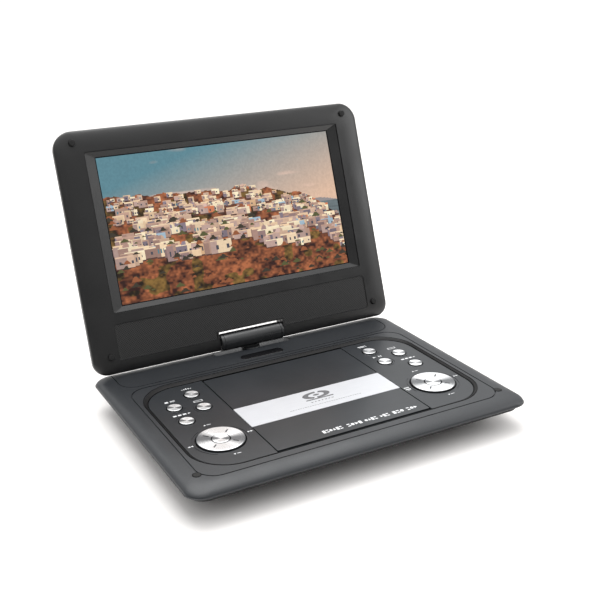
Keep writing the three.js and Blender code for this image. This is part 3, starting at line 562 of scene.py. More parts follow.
# the top cover, in millimetres from the rim's front edge
coverParts = {
    "underEdge": [(4.2, 0), (1.5, 1.7), (0.7, 2.25), (0.2, 2.75), (0, 3.2)],  # (inset, height) up to the rim
    "corner": 13, "rimBottom": 17.5, "rimTop": 21, "crown": 14, "crownStart": 0.35, "crownSteps": 12,
    "openingSide": 21.5, "openingFront": 24.3, "openingBackGap": 51.2, "openingRadius": 28.7,
    "lip": (2.5, 2.7, 5), "lipShares": (0.0, 0.3, 0.6, 0.85, 1.0), "lipCurve": 1.3, "lipStart": 0.2,
    "ledgeTop": 22.2, "ledge": 3, "ledgeCut": 23, "panelTop": 24.8, "cutFrom": 10, "cutOver": 1,
    "grooveX": 125.6, "grooveY": (14.7, 165.8), "grooveRadius": 15, "grooveWidth": 0.95, "grooveDepth": 0.8,
    "lineWidth": 0.8, "lipLine": 0.6, "panelLine": 1.0, "panelLineTop": 0.35, "rearLine": 1.2,
    "rearGap": 38.4, "rearSide": 15, "rearBeyond": 20, "rearWell": 21.3, "wellOver": 10,
    "rearWall": 4, "rearBackWall": 5, "rearCorner": 7, "rearCut": 22,
    "postRoom": (6.1, 18, 24), "doorReliefHalf": 70.2, "doorReliefLength": 20, "doorReliefTop": 22.5,
    "dishRadius": 11, "dishWidth": 73, "dishEnd": (1.5, 3),
    "bumperIn": (14.2, 22.9), "bumperSeat": 3.3, "bumperSink": 1.2, "bumperEdge": 0.9,
    "recessMargin": 3.2, "recessBack": 5.6, "recessLow": 15, "recessSkin": 0.04, "edge": 0.12,
}
rimPlan = plan(-halfWidth, halfWidth, 0, playerDepth, coverParts["corner"])
panelTop = coverParts["panelTop"]
openingHalf = halfWidth - coverParts["openingSide"]
openingFront = coverParts["openingFront"]
openingBack = playerDepth - coverParts["openingBackGap"]
openingPlan = plan(-openingHalf, openingHalf, openingFront, openingBack, coverParts["openingRadius"])
rearFront = playerDepth - coverParts["rearGap"]
rearPlan = plan(-halfWidth + coverParts["rearSide"], halfWidth - coverParts["rearSide"], rearFront,
                playerDepth + coverParts["rearBeyond"], coverParts["corner"])


def crownLevels():
    # the underside slopes up to a thin edge, and the top falls to it in a soft crown
    bottom, top, crown = coverParts["rimBottom"], coverParts["rimTop"], coverParts["crown"]
    levels = [(inset(rimPlan, by), bottom + up) for by, up in coverParts["underEdge"]]
    count = coverParts["crownSteps"]
    for i in range(count + 1):
        angle = math.pi / 2 * i / count
        levels.append((inset(rimPlan, crown - (crown - coverParts["crownStart"]) * math.cos(angle)),
                       top + (coverTop - top) * math.sin(angle)))
    return levels


def lipLevels():
    # the lip falls from the cover to the panels in a soft curve
    side, front, back = coverParts["lip"]
    levels = [(openingPlan, coverParts["ledgeTop"]), (openingPlan, panelTop - coverParts["lipStart"])]
    for share in coverParts["lipShares"]:
        (x0, x1), (y0, y1) = openingPlan["x"], openingPlan["y"]
        radius = coverParts["openingRadius"] + side * share
        grown = plan(x0 - side * share, x1 + side * share, y0 - front * share, y1 + back * share, radius)
        rise = math.sin(math.pi / 2 * share) ** coverParts["lipCurve"]
        levels.append((grown, panelTop + (coverTop - panelTop) * rise))
    levels.append((levels[-1][0], coverTop + coverParts["cutOver"]))
    return levels


def ringGroove(shape, width, z0, z1, steps=18):
    bm = bmesh.new()
    rings = []
    for by, z in ((-width / 2, z0), (-width / 2, z1), (width / 2, z1), (width / 2, z0)):
        points = outlinePoints(inset(shape, by, by), steps)
        rings.append([bm.verts.new((x * mm, y * mm, z * mm)) for x, y in points])
    for i in range(4):
        skin(bm, rings[i], rings[(i + 1) % 4])
    return bm


def makeTopCover():
    cover = asObject("cover_top_fine", loft(crownLevels(), 20), atBase)
    ledgePlan = inset(openingPlan, coverParts["ledge"], coverParts["ledge"])
    grooveX = coverParts["grooveX"]
    groove = plan(-grooveX, grooveX, *coverParts["grooveY"], coverParts["grooveRadius"])
    wall = coverParts["rearWall"]
    rearInner = plan(rearPlan["x"][0] + wall, rearPlan["x"][1] - wall, rearFront + wall,
                     playerDepth - coverParts["rearBackWall"], coverParts["rearCorner"])
    under, over = coverParts["cutFrom"], coverTop + coverParts["cutOver"]
    line = coverParts["lineWidth"]
    reliefHalf = coverParts["doorReliefHalf"]
    doorRelief = block(-reliefHalf, reliefHalf, openingBack - coverParts["doorReliefLength"], openingBack,
                       under, coverParts["doorReliefTop"])
    tools = [
        (loft(lipLevels(), 24), atBase),
        (slab(ledgePlan, under, coverParts["ledgeCut"], 24), atBase),
        (slab(rearPlan, coverParts["rearWell"], coverTop + coverParts["wellOver"], 16), atBase),
        (slab(rearInner, under, coverParts["rearCut"], 16), atBase),
        (rod(*coverParts["postRoom"]), atBase @ Matrix.Translation((0, swivelY * mm, 0))),
        (ringGroove(groove, coverParts["grooveWidth"], coverTop - coverParts["grooveDepth"], over), atBase),
        (doorRelief, atBase),
        (ringGroove(lipLevels()[-1][0], line, coverTop - coverParts["lipLine"], over, 24), atBase),
        (ringGroove(openingPlan, line, panelTop - coverParts["panelLine"],
                    panelTop + coverParts["panelLineTop"], 24), atBase),
        (ringGroove(rearPlan, line, coverTop - coverParts["rearLine"], over, 16), atBase),
    ]
    sideIn, frontIn = coverParts["bumperIn"]
    for sign in (-1, 1):
        seat = rod(coverParts["bumperSeat"], coverTop - coverParts["bumperSink"], over, 32)
        seatX = sign * (halfWidth - sideIn) * mm
        tools.append((seat, atBase @ Matrix.Translation((seatX, frontIn * mm, 0))))
    carve(cover, tools)
    finishPiece(cover, finishes["cover"], "base", ["top_cover"], edge=coverParts["edge"])
    # the lip round the panels and the sunk lines take a near-black finish: painted shade on the lip and in
    # the grooves
    cover.data.materials.append(finishes["recessShade"])
    margin, backMargin = coverParts["recessMargin"], coverParts["recessBack"]
    for face in cover.data.polygons:
        x, y, z = (value / mm for value in face.center)
        inside = abs(x) < openingHalf + margin and openingFront - margin < y < openingBack + backMargin
        if inside and coverParts["recessLow"] < z < coverTop - coverParts["recessSkin"]:
            face.material_index = 1


def dishTool():
    # the hollow that the barrel turns in
    radius, half = coverParts["dishRadius"], coverParts["dishWidth"] / 2
    inward, along = coverParts["dishEnd"]
    bm = turned([(0, -half), (radius - inward, -half), (radius, -half + along), (radius, half - along),
                 (radius - inward, half), (0, half)], 96)
    return bm, atTiltAxis @ alongX


rearParts = {
    "gap": 0.3, "badgeRadius": 4.4, "badgeSink": 0.9, "badgeBottom": 25.4, "badgeEdge": 0.3, "edge": 0.22,
    "postSeat": [(0, 20), (3.75, 20), (3.75, 23.2), (8.4, 23.2), (8.4, 40), (0, 40)],  # (radius, height)
}


def makeRearCover():
    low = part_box("rear_cover")[0].z / mm
    gap, over = rearParts["gap"], coverTop + coverParts["cutOver"]
    cover = asObject("cover_rear_fine", loft(crownLevels(), 20), atBase)
    carve(cover, [(slab(inset(rearPlan, gap, gap), low, over, 16), atBase)], "INTERSECT")
    badgePlan = planOf("badge", rearParts["badgeRadius"])
    seat = turned(rearParts["postSeat"], 48)
    carve(cover, [dishTool(), (seat, atBase @ Matrix.Translation((0, swivelY * mm, 0))),
                  (slab(inset(badgePlan, -gap, -gap), coverTop - rearParts["badgeSink"], over, 12), atBase)])
    finishPiece(cover, finishes["cover"], "base", ["rear_cover"], edge=rearParts["edge"])
    badge = asObject("badge_fine", softSlab(badgePlan, rearParts["badgeBottom"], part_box("badge")[1].z / mm,
                                            rearParts["badgeEdge"], 12), atBase)
    finishPiece(badge, finishes["black"], "base", ["badge"])


def makeBaseBumpers():
    edge = coverParts["bumperEdge"]
    for side in ("left", "right"):
        low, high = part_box("base_bumper_" + side)
        radius = (high.y - low.y) / 2 / mm
        depth = (high.z - low.z) / mm
        profile = [(0, 0), (radius, 0)] + arcProfile(radius - edge, depth - edge, edge, 0, 90, 8)
        profile.append((0, depth))
        place = Matrix.Translation(((low.x + high.x) / 2, (low.y + high.y) / 2, low.z))
        bumper = asObject("bumper_base_" + side, turned(profile, 40), place)
        finishPiece(bumper, finishes["rubber"], "base", ["base_bumper_" + side])


makeTopCover()
makeRearCover()
makeBaseBumpers()
print("cover, rear cover and bumpers built")

# control panels, buttons and dials
controlParts = {
    "doorHalf": 64.85, "seam": 0.25, "seamRadius": 0.4, "sideGap": 0.3, "thickness": 2.3, "edge": 0.18,
    "holeGap": 0.75, "dialGap": 0.95, "holeZ": (20, 30), "grooveWidth": 0.5, "grooveDepth": 0.35,
    "dialGroove": 20.6, "dialArcs": [(-60, 62), (128, 196)], "buttonGroove": 8.1,
    "buttonArcs": {"inner_front": (-100, 35), "inner_back": (250, 320), "outer_back": (200, 300),
                   "outer_front": (20, 100)},
    "lugX": (65.5, 69.2), "lugY": (151.1, 156.5), "lugLow": 19.2, "lugInto": 0.1, "rodBore": (1.05, 60, 72),
}
buttonParts = {
    "radius": 5.75, "flangeTop": 1.6, "edge": 0.5, "lip": (0.9, 0.06), "bright": 0.28,
    "dish": [(0.6, 0.16), (0.3, 0.22), (0, 0.24)],  # (share of the radius, depth)
}
dialParts = {
    "radius": 17.7, "hole": 7.1, "flangeTop": 1.4, "edge": 0.9, "bright": 0.32, "holeEdge": 0.4,
    "lip": (3, 0.02), "dish": [(2.2, 0.12), (0.5, 0.12)],  # the dish is (out from the hole, depth)
    "slotInner": 9.2, "slotOuter": 13.8, "slotWidth": 1.1, "slotDepth": 0.55, "slotEnd": 0.9, "slotEdge": 0.1,
    "capRadius": 6.5, "capStem": 2.2, "capHeight": 4.5, "capEdge": 0.5, "capLip": (1, 0.05),
    "capDish": [(0.5, 0.2), (0, 0.26)], "capBright": 0.34,
}
buttonNames = ["inner_front", "inner_back", "outer_front", "outer_back"]


def centreOf(node):
    low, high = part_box(node)
    return (low + high) / 2


def makePanel(side, sign):
    node = "control_panel_" + side
    radius, seamRadius = coverParts["openingRadius"] - controlParts["sideGap"], controlParts["seamRadius"]
    if sign > 0:
        outer = planOf(node, (seamRadius, radius, radius, seamRadius))
    else:
        outer = planOf(node, (radius, seamRadius, seamRadius, radius))
    bottom = panelTop - controlParts["thickness"]
    seam = controlParts["seam"]
    outer["x"] = (outer["x"][0] + seam * (sign > 0), outer["x"][1] - seam * (sign < 0))
    panel = asObject("panel_" + side, softSlab(outer, bottom, panelTop, controlParts["edge"], 24, 3), atBase)
    dial = centreOf("dial_ring_" + side)
    hole = dialParts["radius"] + controlParts["dialGap"]
    tools = [(rod(hole, *controlParts["holeZ"], 96), Matrix.Translation((dial.x, dial.y, 0)))]
    for name in buttonNames:
        middle = centreOf(f"button_{side}_{name}")
        hole = buttonParts["radius"] + controlParts["holeGap"]
        tools.append((rod(hole, *controlParts["holeZ"]), Matrix.Translation((middle.x, middle.y, 0))))
    depth, width = controlParts["grooveDepth"], controlParts["grooveWidth"]

    def addGroove(centre, radius, start, end):
        ends = (start, end) if sign > 0 else (180 - end, 180 - start)
        over = panelTop + coverParts["cutOver"]
        tools.append((sector(0, 0, radius - width / 2, radius + width / 2, *ends, panelTop - depth, over),
                      Matrix.Translation((centre.x, centre.y, 0))))

    for start, end in controlParts["dialArcs"]:
        addGroove(dial, controlParts["dialGroove"], start, end)
    for name, (start, end) in controlParts["buttonArcs"].items():
        addGroove(centreOf(f"button_{side}_{name}"), controlParts["buttonGroove"], start, end)
    # the door's rod runs in one bore through the lug and the underside of the panel
    hingePlace = Matrix.Translation(joints["disc_door_hinge"]["pos_m"])
    borePlace = hingePlace @ alongX @ Matrix.Rotation(0 if sign > 0 else math.pi, 4, "X")
    tools.append((rod(*controlParts["rodBore"], 24), borePlace))
    carve(panel, tools)
    lugX = sorted(sign * x for x in controlParts["lugX"])
    lug = asObject("panel_lug_" + side, block(*lugX, *controlParts["lugY"], controlParts["lugLow"],
                                              bottom + controlParts["lugInto"]), atBase)
    carve(lug, [(rod(*controlParts["rodBore"], 24), borePlace)])
    finishPiece(panel, finishes["panel"], "base", [node], edge=0.08)
    finishPiece(lug, finishes["inner"], "base", edge=0.2)


def makeButton(side, name):
    node = f"button_{side}_{name}"
    middle = centreOf(node)
    low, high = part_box(node)
    radius, flangeTop, edge = buttonParts["radius"], buttonParts["flangeTop"], buttonParts["edge"]
    flange = (high.x - low.x) / 2 / mm
    top = (high.z - low.z) / mm
    profile = [(0, 0), (flange, 0), (flange, flangeTop), (radius, flangeTop)]
    profile += arcProfile(radius - edge, top - edge, edge, 0, 90, 6)
    lipIn, lipDown = buttonParts["lip"]
    profile.append((radius - lipIn, top - lipDown))
    profile += [(radius * share, top - down) for share, down in buttonParts["dish"]]
    place = Matrix.Translation((middle.x, middle.y, low.z))
    button = asObject("key_" + side + "_" + name, turned(profile, 64), place)
    finishPiece(button, finishes["key"], node, [node])
    # side and flange take the dark finish: painted shade in the gap round the key
    darkBelow(button, finishes["hinge"], top - buttonParts["bright"])


def makeDialRing(side):
    node = "dial_ring_" + side
    middle = centreOf(node)
    low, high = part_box(node)
    flange = (high.x - low.x) / 2 / mm
    top = (high.z - low.z) / mm
    radius, hole, flangeTop = dialParts["radius"], dialParts["hole"], dialParts["flangeTop"]
    edge, holeEdge = dialParts["edge"], dialParts["holeEdge"]
    profile = [(hole, 0), (flange, 0), (flange, flangeTop), (radius, flangeTop)]
    profile += arcProfile(radius - edge, top - edge, edge, 0, 90, 8)
    lipIn, lipDown = dialParts["lip"]
    profile.append((radius - lipIn, top - lipDown))
    profile += [(hole + out, top - down) for out, down in dialParts["dish"]]
    rollZ = top - dialParts["dish"][-1][1] - holeEdge
    profile += arcProfile(hole + holeEdge, rollZ, holeEdge, 90, 180, 4)
    place = Matrix.Translation((middle.x, middle.y, low.z))
    ring = asObject("dial_turned_" + side, turned(profile, 120, closed=True), place)
    slots = []
    half = dialParts["slotWidth"] / 2
    slotPlan = plan(dialParts["slotInner"], dialParts["slotOuter"], -half, half, half * dialParts["slotEnd"])
    for quarter in range(4):
        turn = Matrix.Rotation(math.radians(45 + 90 * quarter), 4, "Z")
        cutter = softSlab(slotPlan, top - dialParts["slotDepth"], top + 1, dialParts["slotEdge"], 4)
        slots.append((cutter, place @ turn))
    carve(ring, slots)
    finishPiece(ring, finishes["key"], node, [node])
    # the slot bottoms lie below this height and take the dark finish: painted shade in the slots
    darkBelow(ring, finishes["hinge"], top - dialParts["bright"])


def makeDialCap(side):
    node = "dial_button_" + side
    middle = centreOf("dial_ring_" + side)
    low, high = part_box(node)
    top = (high.z - low.z) / mm
    cap, stem, edge = dialParts["capRadius"], dialParts["capStem"], dialParts["capEdge"]
    flangeTop = top - dialParts["capHeight"]
    profile = [(0, 0), (stem, 0), (stem, flangeTop), (cap, flangeTop)]
    profile += arcProfile(cap - edge, top - edge, edge, 0, 90, 6)
    lipIn, lipDown = dialParts["capLip"]
    profile.append((cap - lipIn, top - lipDown))
    profile += [(cap * share, top - down) for share, down in dialParts["capDish"]]
    place = Matrix.Translation((middle.x, middle.y, low.z))
    centre = asObject("dial_cap_" + side, turned(profile, 64), place)
    finishPiece(centre, finishes["key"], node, [node])
    # the cap's side takes the dark finish: painted shade in the gap round the cap
    darkBelow(centre, finishes["hinge"], top - dialParts["capBright"])


for sideName, sideSign in (("left", -1), ("right", 1)):
    makePanel(sideName, sideSign)
    for buttonName in buttonNames:
        makeButton(sideName, buttonName)
    makeDialRing(sideName)
    makeDialCap(sideName)
print("panels, buttons and dials built")

# printed marks are thin raised ink, and only plain symbols
inkDepth = 0.035


def prism(bm, points, z0, z1):
    lower = [bm.verts.new((x * mm, y * mm, z0 * mm)) for x, y in points]
    upper = [bm.verts.new((x * mm, y * mm, z1 * mm)) for x, y in points]
    skin(bm, lower, upper)
    bm.faces.new(list(reversed(lower)))
    bm.faces.new(upper)


def bar(x, y, width, height):
    return [(x - width / 2, y - height / 2), (x + width / 2, y - height / 2),
            (x + width / 2, y + height / 2), (x - width / 2, y + height / 2)]


def arrow(x, y, size, turn):
    points = []
    for angle in (0, 130, 230):
        a = math.radians(angle + turn)
        points.append((x + size * math.cos(a), y + size * math.sin(a)))
    return points


def dot(x, y, radius, stretch=1.0, count=20):
    points = []
    for i in range(count):
        angle = 2 * math.pi * i / count
        points.append((x + stretch * radius * math.cos(angle), y + radius * math.sin(angle)))
    return points


symbolShapes = {
    "play": [arrow(-2.1, 0, 1.15, 0), bar(1.0, 0, 0.6, 1.9), bar(2.3, 0, 0.6, 1.9)],
    "stop": [bar(-1.4, 0, 1.8, 1.8), bar(1.9, 0.5, 2.6, 0.5), bar(1.9, -0.5, 2.6, 0.5)],
    "menu": [bar(0, 0.85, 5.4, 0.45), bar(-0.7, 0, 4.0, 0.45), bar(0.3, -0.85, 4.8, 0.45)],
    "source": [bar(-3.2, 0, 1.8, 1.5), bar(-0.6, 0, 1.8, 1.5), bar(2.0, 0, 1.8, 1.5), arrow(4.4, 0, 0.9, 0)],
    "sound": [bar(-2.4, -0.5, 0.6, 0.8), bar(-1.2, -0.2, 0.6, 1.4), bar(0, 0, 0.6, 1.8),
              bar(1.2, -0.2, 0.6, 1.4), bar(2.4, -0.5, 0.6, 0.8)],
    "frame": [bar(0, 0.9, 5, 0.4), bar(0, -0.9, 5, 0.4), bar(-2.3, 0, 0.4, 1.6), bar(2.3, 0, 0.4, 1.6)],
    "turnLeft": [arrow(-0.8, 0, 0.95, 180), arrow(0.9, 0, 0.95, 180)],
    "turnRight": [arrow(0.8, 0, 0.95, 0), arrow(-0.9, 0, 0.95, 0)],
    "up": [arrow(-1.2, 0, 0.9, 90), bar(1.3, 0, 2.4, 0.5)],
    "down": [arrow(-1.2, 0, 0.9, 270), bar(1.3, 0, 2.4, 0.5)],
    "pair": [bar(0, 1.2, 3.6, 0.9), bar(0, -1.2, 3.6, 0.9), bar(0, -2.6, 2.4, 0.4)],
}


def printMarks(name, marks, place, body, z, ink):
    # marks are (outline, shift x, shift y, slant) in the plane of the surface
    bm = bmesh.new()
    for outline, x, y, turn in marks:
        c, s = math.cos(math.radians(turn)), math.sin(math.radians(turn))
        prism(bm, [(x + c * px - s * py, y + s * px + c * py) for px, py in outline], z, z + inkDepth)
    piece = asObject(name, bm, place)
    finishPiece(piece, ink, body)


panelMarks = {
    "labelRise": 11.6, "labelScale": (1.5, 1.2), "dialScale": (1.3, 1.15),
    "left": {"inner_back": "sound", "inner_front": "frame", "outer_back": "stop", "outer_front": "source"},
    "right": {"inner_back": "menu", "inner_front": "play", "outer_back": "frame", "outer_front": "source"},
    "dialLeft": [("up", 0, 25.5), ("turnRight", 23.6, 1.2), ("turnLeft", -22.7, 1.2), ("down", 1.8, -23)],
    "dialRight": [("up", 0.2, 25.5), ("turnRight", 23.6, 1.7), ("pair", -23.4, 1.7), ("down", 0.2, -23)],
}


def scaled(outline, sizes):
    return [(x * sizes[0], y * sizes[1]) for x, y in outline]


def makePanelMarks(side):
    marks = []
    shift = rimLow.y
    for name, symbol in panelMarks[side].items():
        middle = centreOf(f"button_{side}_{name}")
        for outline in symbolShapes[symbol]:
            marks.append((scaled(outline, panelMarks["labelScale"]), middle.x / mm,
                          (middle.y - shift) / mm + panelMarks["labelRise"], 0))
    middle = centreOf("dial_ring_" + side)
    for symbol, x, y in panelMarks["dial" + side.capitalize()]:
        for outline in symbolShapes[symbol]:
            marks.append((scaled(outline, panelMarks["dialScale"]), middle.x / mm + x,
                          (middle.y - shift) / mm + y, 0))
    printMarks("print_panel_" + side, marks, atBase, "base", panelTop, finishes["ink"])


for sideName in ("left", "right"):
    makePanelMarks(sideName)
print("panel marks printed")

# the disc door and its strip
doorParts = {
    "front": 26.4, "back": 155.9, "thickness": 2, "corner": 1.2, "edge": 0.22,
    "stripY": (66, 98.5), "stripSeat": 23.8, "stripCorner": 0.4, "stripEdge": 0.12,
    "bead": 2.1, "beadIn": 0.5, "bore": 1.2,
    "hookX": 50, "hookHalf": 4, "hookY": 30.5, "hookThickness": 1.6, "hookDrop": 3.4, "hookInto": 0.5,
    "toeOut": 0.8, "toeHeight": 1.2, "ribX": range(-48, 49, 24), "ribHalf": 0.6, "ribY": (44, 62),
    "ribDrop": 0.9, "ribInto": 0.4,
}


def makeDoor():
    half = controlParts["doorHalf"]
    low = panelTop - doorParts["thickness"]
    hingePlace = Matrix.Translation(joints["disc_door_hinge"]["pos_m"]) @ alongX
    plateHalf = half - controlParts["seam"]
    platePlan = plan(-plateHalf, plateHalf, doorParts["front"], doorParts["back"], doorParts["corner"])
    door = asObject("door_fine", softSlab(platePlan, low, panelTop, doorParts["edge"], 6, 3), atBase)
    beadHalf = half - doorParts["beadIn"]
    additions = [(rod(doorParts["bead"], -beadHalf, beadHalf, 40), hingePlace)]
    hookHalf, hookY, into = doorParts["hookHalf"], doorParts["hookY"], doorParts["hookInto"]
    hookLow = low - doorParts["hookDrop"]
    for sign in (-1, 1):
        x = sign * doorParts["hookX"]
        additions.append((block(x - hookHalf, x + hookHalf, hookY, hookY + doorParts["hookThickness"],
                                hookLow, low + into), atBase))
        additions.append((block(x - hookHalf, x + hookHalf, hookY - doorParts["toeOut"], hookY + into,
                                hookLow, hookLow + doorParts["toeHeight"]), atBase))
    ribHalf = doorParts["ribHalf"]
    for x in doorParts["ribX"]:
        additions.append((block(x - ribHalf, x + ribHalf, *doorParts["ribY"], low - doorParts["ribDrop"],
                                low + doorParts["ribInto"]), atBase))
    carve(door, additions, "UNION")
    stripSeat = block(-half - 1, half + 1, *doorParts["stripY"], doorParts["stripSeat"],
                      panelTop + coverParts["cutOver"])
    carve(door, [(rod(doorParts["bore"], -half - 1, half + 1, 24), hingePlace), (stripSeat, atBase)])
    finishPiece(door, finishes["panel"], "disc_door", ["disc_door"], edge=0.06)
    stripLow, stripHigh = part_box("door_strip")
    strip = asObject("strip_fine", softSlab(planOf("door_strip", doorParts["stripCorner"]), stripLow.z / mm,
                                            stripHigh.z / mm, doorParts["stripEdge"], 4, 3), atBase)
    finishPiece(strip, finishes["strip"], "disc_door", ["door_strip"])
    return stripHigh.z / mm


stripTop = makeDoor()

doorMarks = {
    "mark": (1.5, 88.6), "ringSize": (5.4, 3.1), "ringStretch": 2.2, "ringSteps": 48, "dotRadius": 1.25,
    "barY": 82.4, "barSize": (24, 1.5), "lineY": 78.4, "lineStart": -9, "linePitch": 3, "lineCount": 7,
    "fineY": 73.4, "fineStart": -30, "finePitch": 2.1, "fineCount": 30,
    "icons": [(-16.2, 17), (2.4, 13), (16.6, 11), (28.6, 8.3), (40.7, 10), (53, 9.5)], "iconY": 33.4,
    "iconScale": (1.05, 1.25),
}


def makeDoorMarks():
    x, y = doorMarks["mark"]
    outer, inner = doorMarks["ringSize"]
    stretch = doorMarks["ringStretch"]
    marks = []
    count = doorMarks["ringSteps"]
    for i in range(count):
        a0, a1 = 2 * math.pi * i / count, 2 * math.pi * (i + 1) / count
        if 8 < i % (count // 2) < 11:
            continue  # two breaks make the ring read as a spinning disc
        marks.append(([(stretch * inner * math.cos(a0), inner * math.sin(a0)),
                       (stretch * outer * math.cos(a0), outer * math.sin(a0)),
                       (stretch * outer * math.cos(a1), outer * math.sin(a1)),
                       (stretch * inner * math.cos(a1), inner * math.sin(a1))], x, y, 0))
    marks.append((dot(0, 0, doorMarks["dotRadius"], stretch), x, y, 0))
    marks.append((bar(0, 0, *doorMarks["barSize"]), x, doorMarks["barY"], 0))
    for i in range(doorMarks["lineCount"]):
        across = doorMarks["lineStart"] + doorMarks["linePitch"] * i
        marks.append((bar(across, 0, 1.9 - 0.5 * (i % 2), 0.8), x, doorMarks["lineY"], 0))
    for i in range(doorMarks["fineCount"]):
        across = doorMarks["fineStart"] + doorMarks["finePitch"] * i
        marks.append((bar(across, 0, 1.3 + 0.4 * (i % 3 == 0), 0.45), x, doorMarks["fineY"], 0))
    printMarks("print_strip", marks, atBase, "disc_door", stripTop, finishes["greyInk"])
    icons = []
    iconY = doorMarks["iconY"]
    for index, (centre, width) in enumerate(doorMarks["icons"]):
        cells = max(2, round(width / 3))
        step = width / cells
        for cell in range(cells):
            cellX = centre - width / 2 + step * (cell + 0.5)
            kind = (index + cell) % 4
            if kind == 0:
                shapes = [bar(0, 0, step * 0.72, 3.2)]
            elif kind == 1:
                shapes = [bar(0, 1.1, step * 0.72, 0.9), bar(0, -1.1, step * 0.72, 0.9)]
            elif kind == 2:
                shapes = [dot(0, 0, min(1.5, step * 0.4))]
            else:
                shapes = [arrow(0, 0, min(1.8, step * 0.5), 90 if cell % 2 else 0)]
            icons += [(scaled(shape, doorMarks["iconScale"]), cellX, iconY, 0) for shape in shapes]
    printMarks("print_icons", icons, atBase, "disc_door", panelTop, finishes["ink"])


makeDoorMarks()
print("door, strip and their marks built")

# the tub with its port block, the screws and the feet
tubParts = {
    "inset": 4, "slope": (24, 40, 18), "slopeSteps": 8, "flatRadius": 10, "flatEdge": (0.6, 0.12),
    "topBand": 1.12,
    "underside": 2, "wall": 2.1, "hollowFloor": 4.2, "hollowIn": 0.5, "hollowTop": 0.6,
    "blockDepth": 30, "blockFront": 74, "blockBack": 30, "blockBottom": 4.2, "blockCorner": 3,
    "blockOut": 0.6, "blockEdge": 0.01, "blockWall": (2.4, 2), "blockFloor": 2,
    "portFaceIn": 7.4, "portDepth": 8, "portGap": 0.3, "portZ": 11,
    "slotWidth": 12, "slotBack": 119, "slotHeight": 3.4, "footSeat": 6.3, "footSink": 0.9,
    "ventX": range(-24, 25, 6), "ventHalf": 0.9, "ventY": (118, 142), "ventRadius": 0.85, "ventDepth": 1.2,
}
screwParts = {
    "share": 0.83, "seat": 3.1, "sink": 1.1, "head": 2.6, "edge": 0.4, "edgeRise": 0.3, "height": 0.9,
    "lift": 0.15, "crossLong": 1.6, "crossHalf": 0.28, "crossTop": 0.5,
}
footNames = ["front_left", "front_right", "back_left", "back_right"]
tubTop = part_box("bottom_shell")[1].z / mm
tubInset = tubParts["inset"]
tubSide, tubFront, tubBack = tubParts["slope"]
flatPlan = plan(-halfWidth + tubInset + tubSide, halfWidth - tubInset - tubSide, tubInset + tubFront,
                playerDepth - tubInset - tubBack, tubParts["flatRadius"])


def between(lower, upper, share):
    def mix(a, b):
        return tuple(p + (q - p) * share for p, q in zip(a, b))
    return {"x": mix(lower["x"], upper["x"]), "y": mix(lower["y"], upper["y"]),
            "radii": mix(lower["radii"], upper["radii"])}


def screwPlaces():
    # one beside each foot and one in the middle of each row, in metres
    places = []
    for name in footNames:
        middle = centreOf("foot_" + name)
        places.append((middle.x * screwParts["share"], middle.y))
    return places + [(0, places[0][1]), (0, places[2][1])]


def makeTub():
    low = tubParts["underside"]
    upper = inset(rimPlan, tubInset)
    flatIn, flatUp = tubParts["flatEdge"]
    levels = [(inset(flatPlan, flatIn), low), (flatPlan, low + flatUp)]
    steps, rise = tubParts["slopeSteps"], tubTop - tubParts["topBand"] - low
    for i in range(1, steps + 1):
        share = i / steps
        levels.append((between(flatPlan, upper, share), low + flatUp + rise * share))
    levels.append((upper, tubTop))
    tub = asObject("tub_fine", loft(levels, 12), atBase)
    # the block that holds the ports stands out of the slope on the right
    faceX = halfWidth - tubParts["portFaceIn"]
    blockPlan = plan(faceX - tubParts["blockDepth"], faceX + tubParts["blockOut"], tubParts["blockFront"],
                     playerDepth - tubParts["blockBack"], tubParts["blockCorner"])
    portBlock = softSlab(blockPlan, tubParts["blockBottom"], tubTop, tubParts["blockEdge"], 6, 2)
    carve(tub, [(portBlock, atBase)], "UNION")
    inner = inset(rimPlan, tubInset + tubParts["wall"])
    hollowIn, over = tubParts["hollowIn"], tubTop + 1
    hollow = loft([(inset(flatPlan, hollowIn), tubParts["hollowFloor"]),
                   (inset(inner, hollowIn), tubTop - tubParts["hollowTop"]), (inner, over)], 8)
    blockFloor = tubParts["blockBottom"] + tubParts["blockFloor"]
    blockHollow = slab(inset(blockPlan, *tubParts["blockWall"]), blockFloor, over, 6)
    tools = [(hollow, atBase), (blockHollow, atBase)]
    portIn, gap = faceX - tubParts["portDepth"], tubParts["portGap"]
    for node in ("dc_jack", "headphone_jack", "video_jack"):
        lowBox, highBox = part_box(node)
        tools.append((block(portIn, halfWidth, lowBox.y / mm - gap, highBox.y / mm + gap,
                            lowBox.z / mm - gap, highBox.z / mm + gap), Matrix.Identity(4)))
    slotY, slotHalf = playerDepth - tubParts["slotBack"], tubParts["slotWidth"] / 2
    slotZ, slotRise = tubParts["portZ"], tubParts["slotHeight"] / 2
    tools.append((block(portIn, halfWidth, slotY - slotHalf, slotY + slotHalf, slotZ - slotRise,
                        slotZ + slotRise), atBase))
    for name in footNames:
        middle = centreOf("foot_" + name)
        seat = rod(tubParts["footSeat"], low - 1, low + tubParts["footSink"])
        tools.append((seat, Matrix.Translation((middle.x, middle.y, 0))))
    for x, y in screwPlaces():
        seat = rod(screwParts["seat"], low - 1, low + screwParts["sink"], 32)
        tools.append((seat, Matrix.Translation((x, y, 0))))
    # ventilation slots between the feet
    ventHalf = tubParts["ventHalf"]
    for x in tubParts["ventX"]:
        vent = plan(x - ventHalf, x + ventHalf, *tubParts["ventY"], tubParts["ventRadius"])
        tools.append((slab(vent, low - 1, low + tubParts["ventDepth"], 4), atBase))
    carve(tub, tools)
    finishPiece(tub, finishes["shell"], "base", ["bottom_shell"])


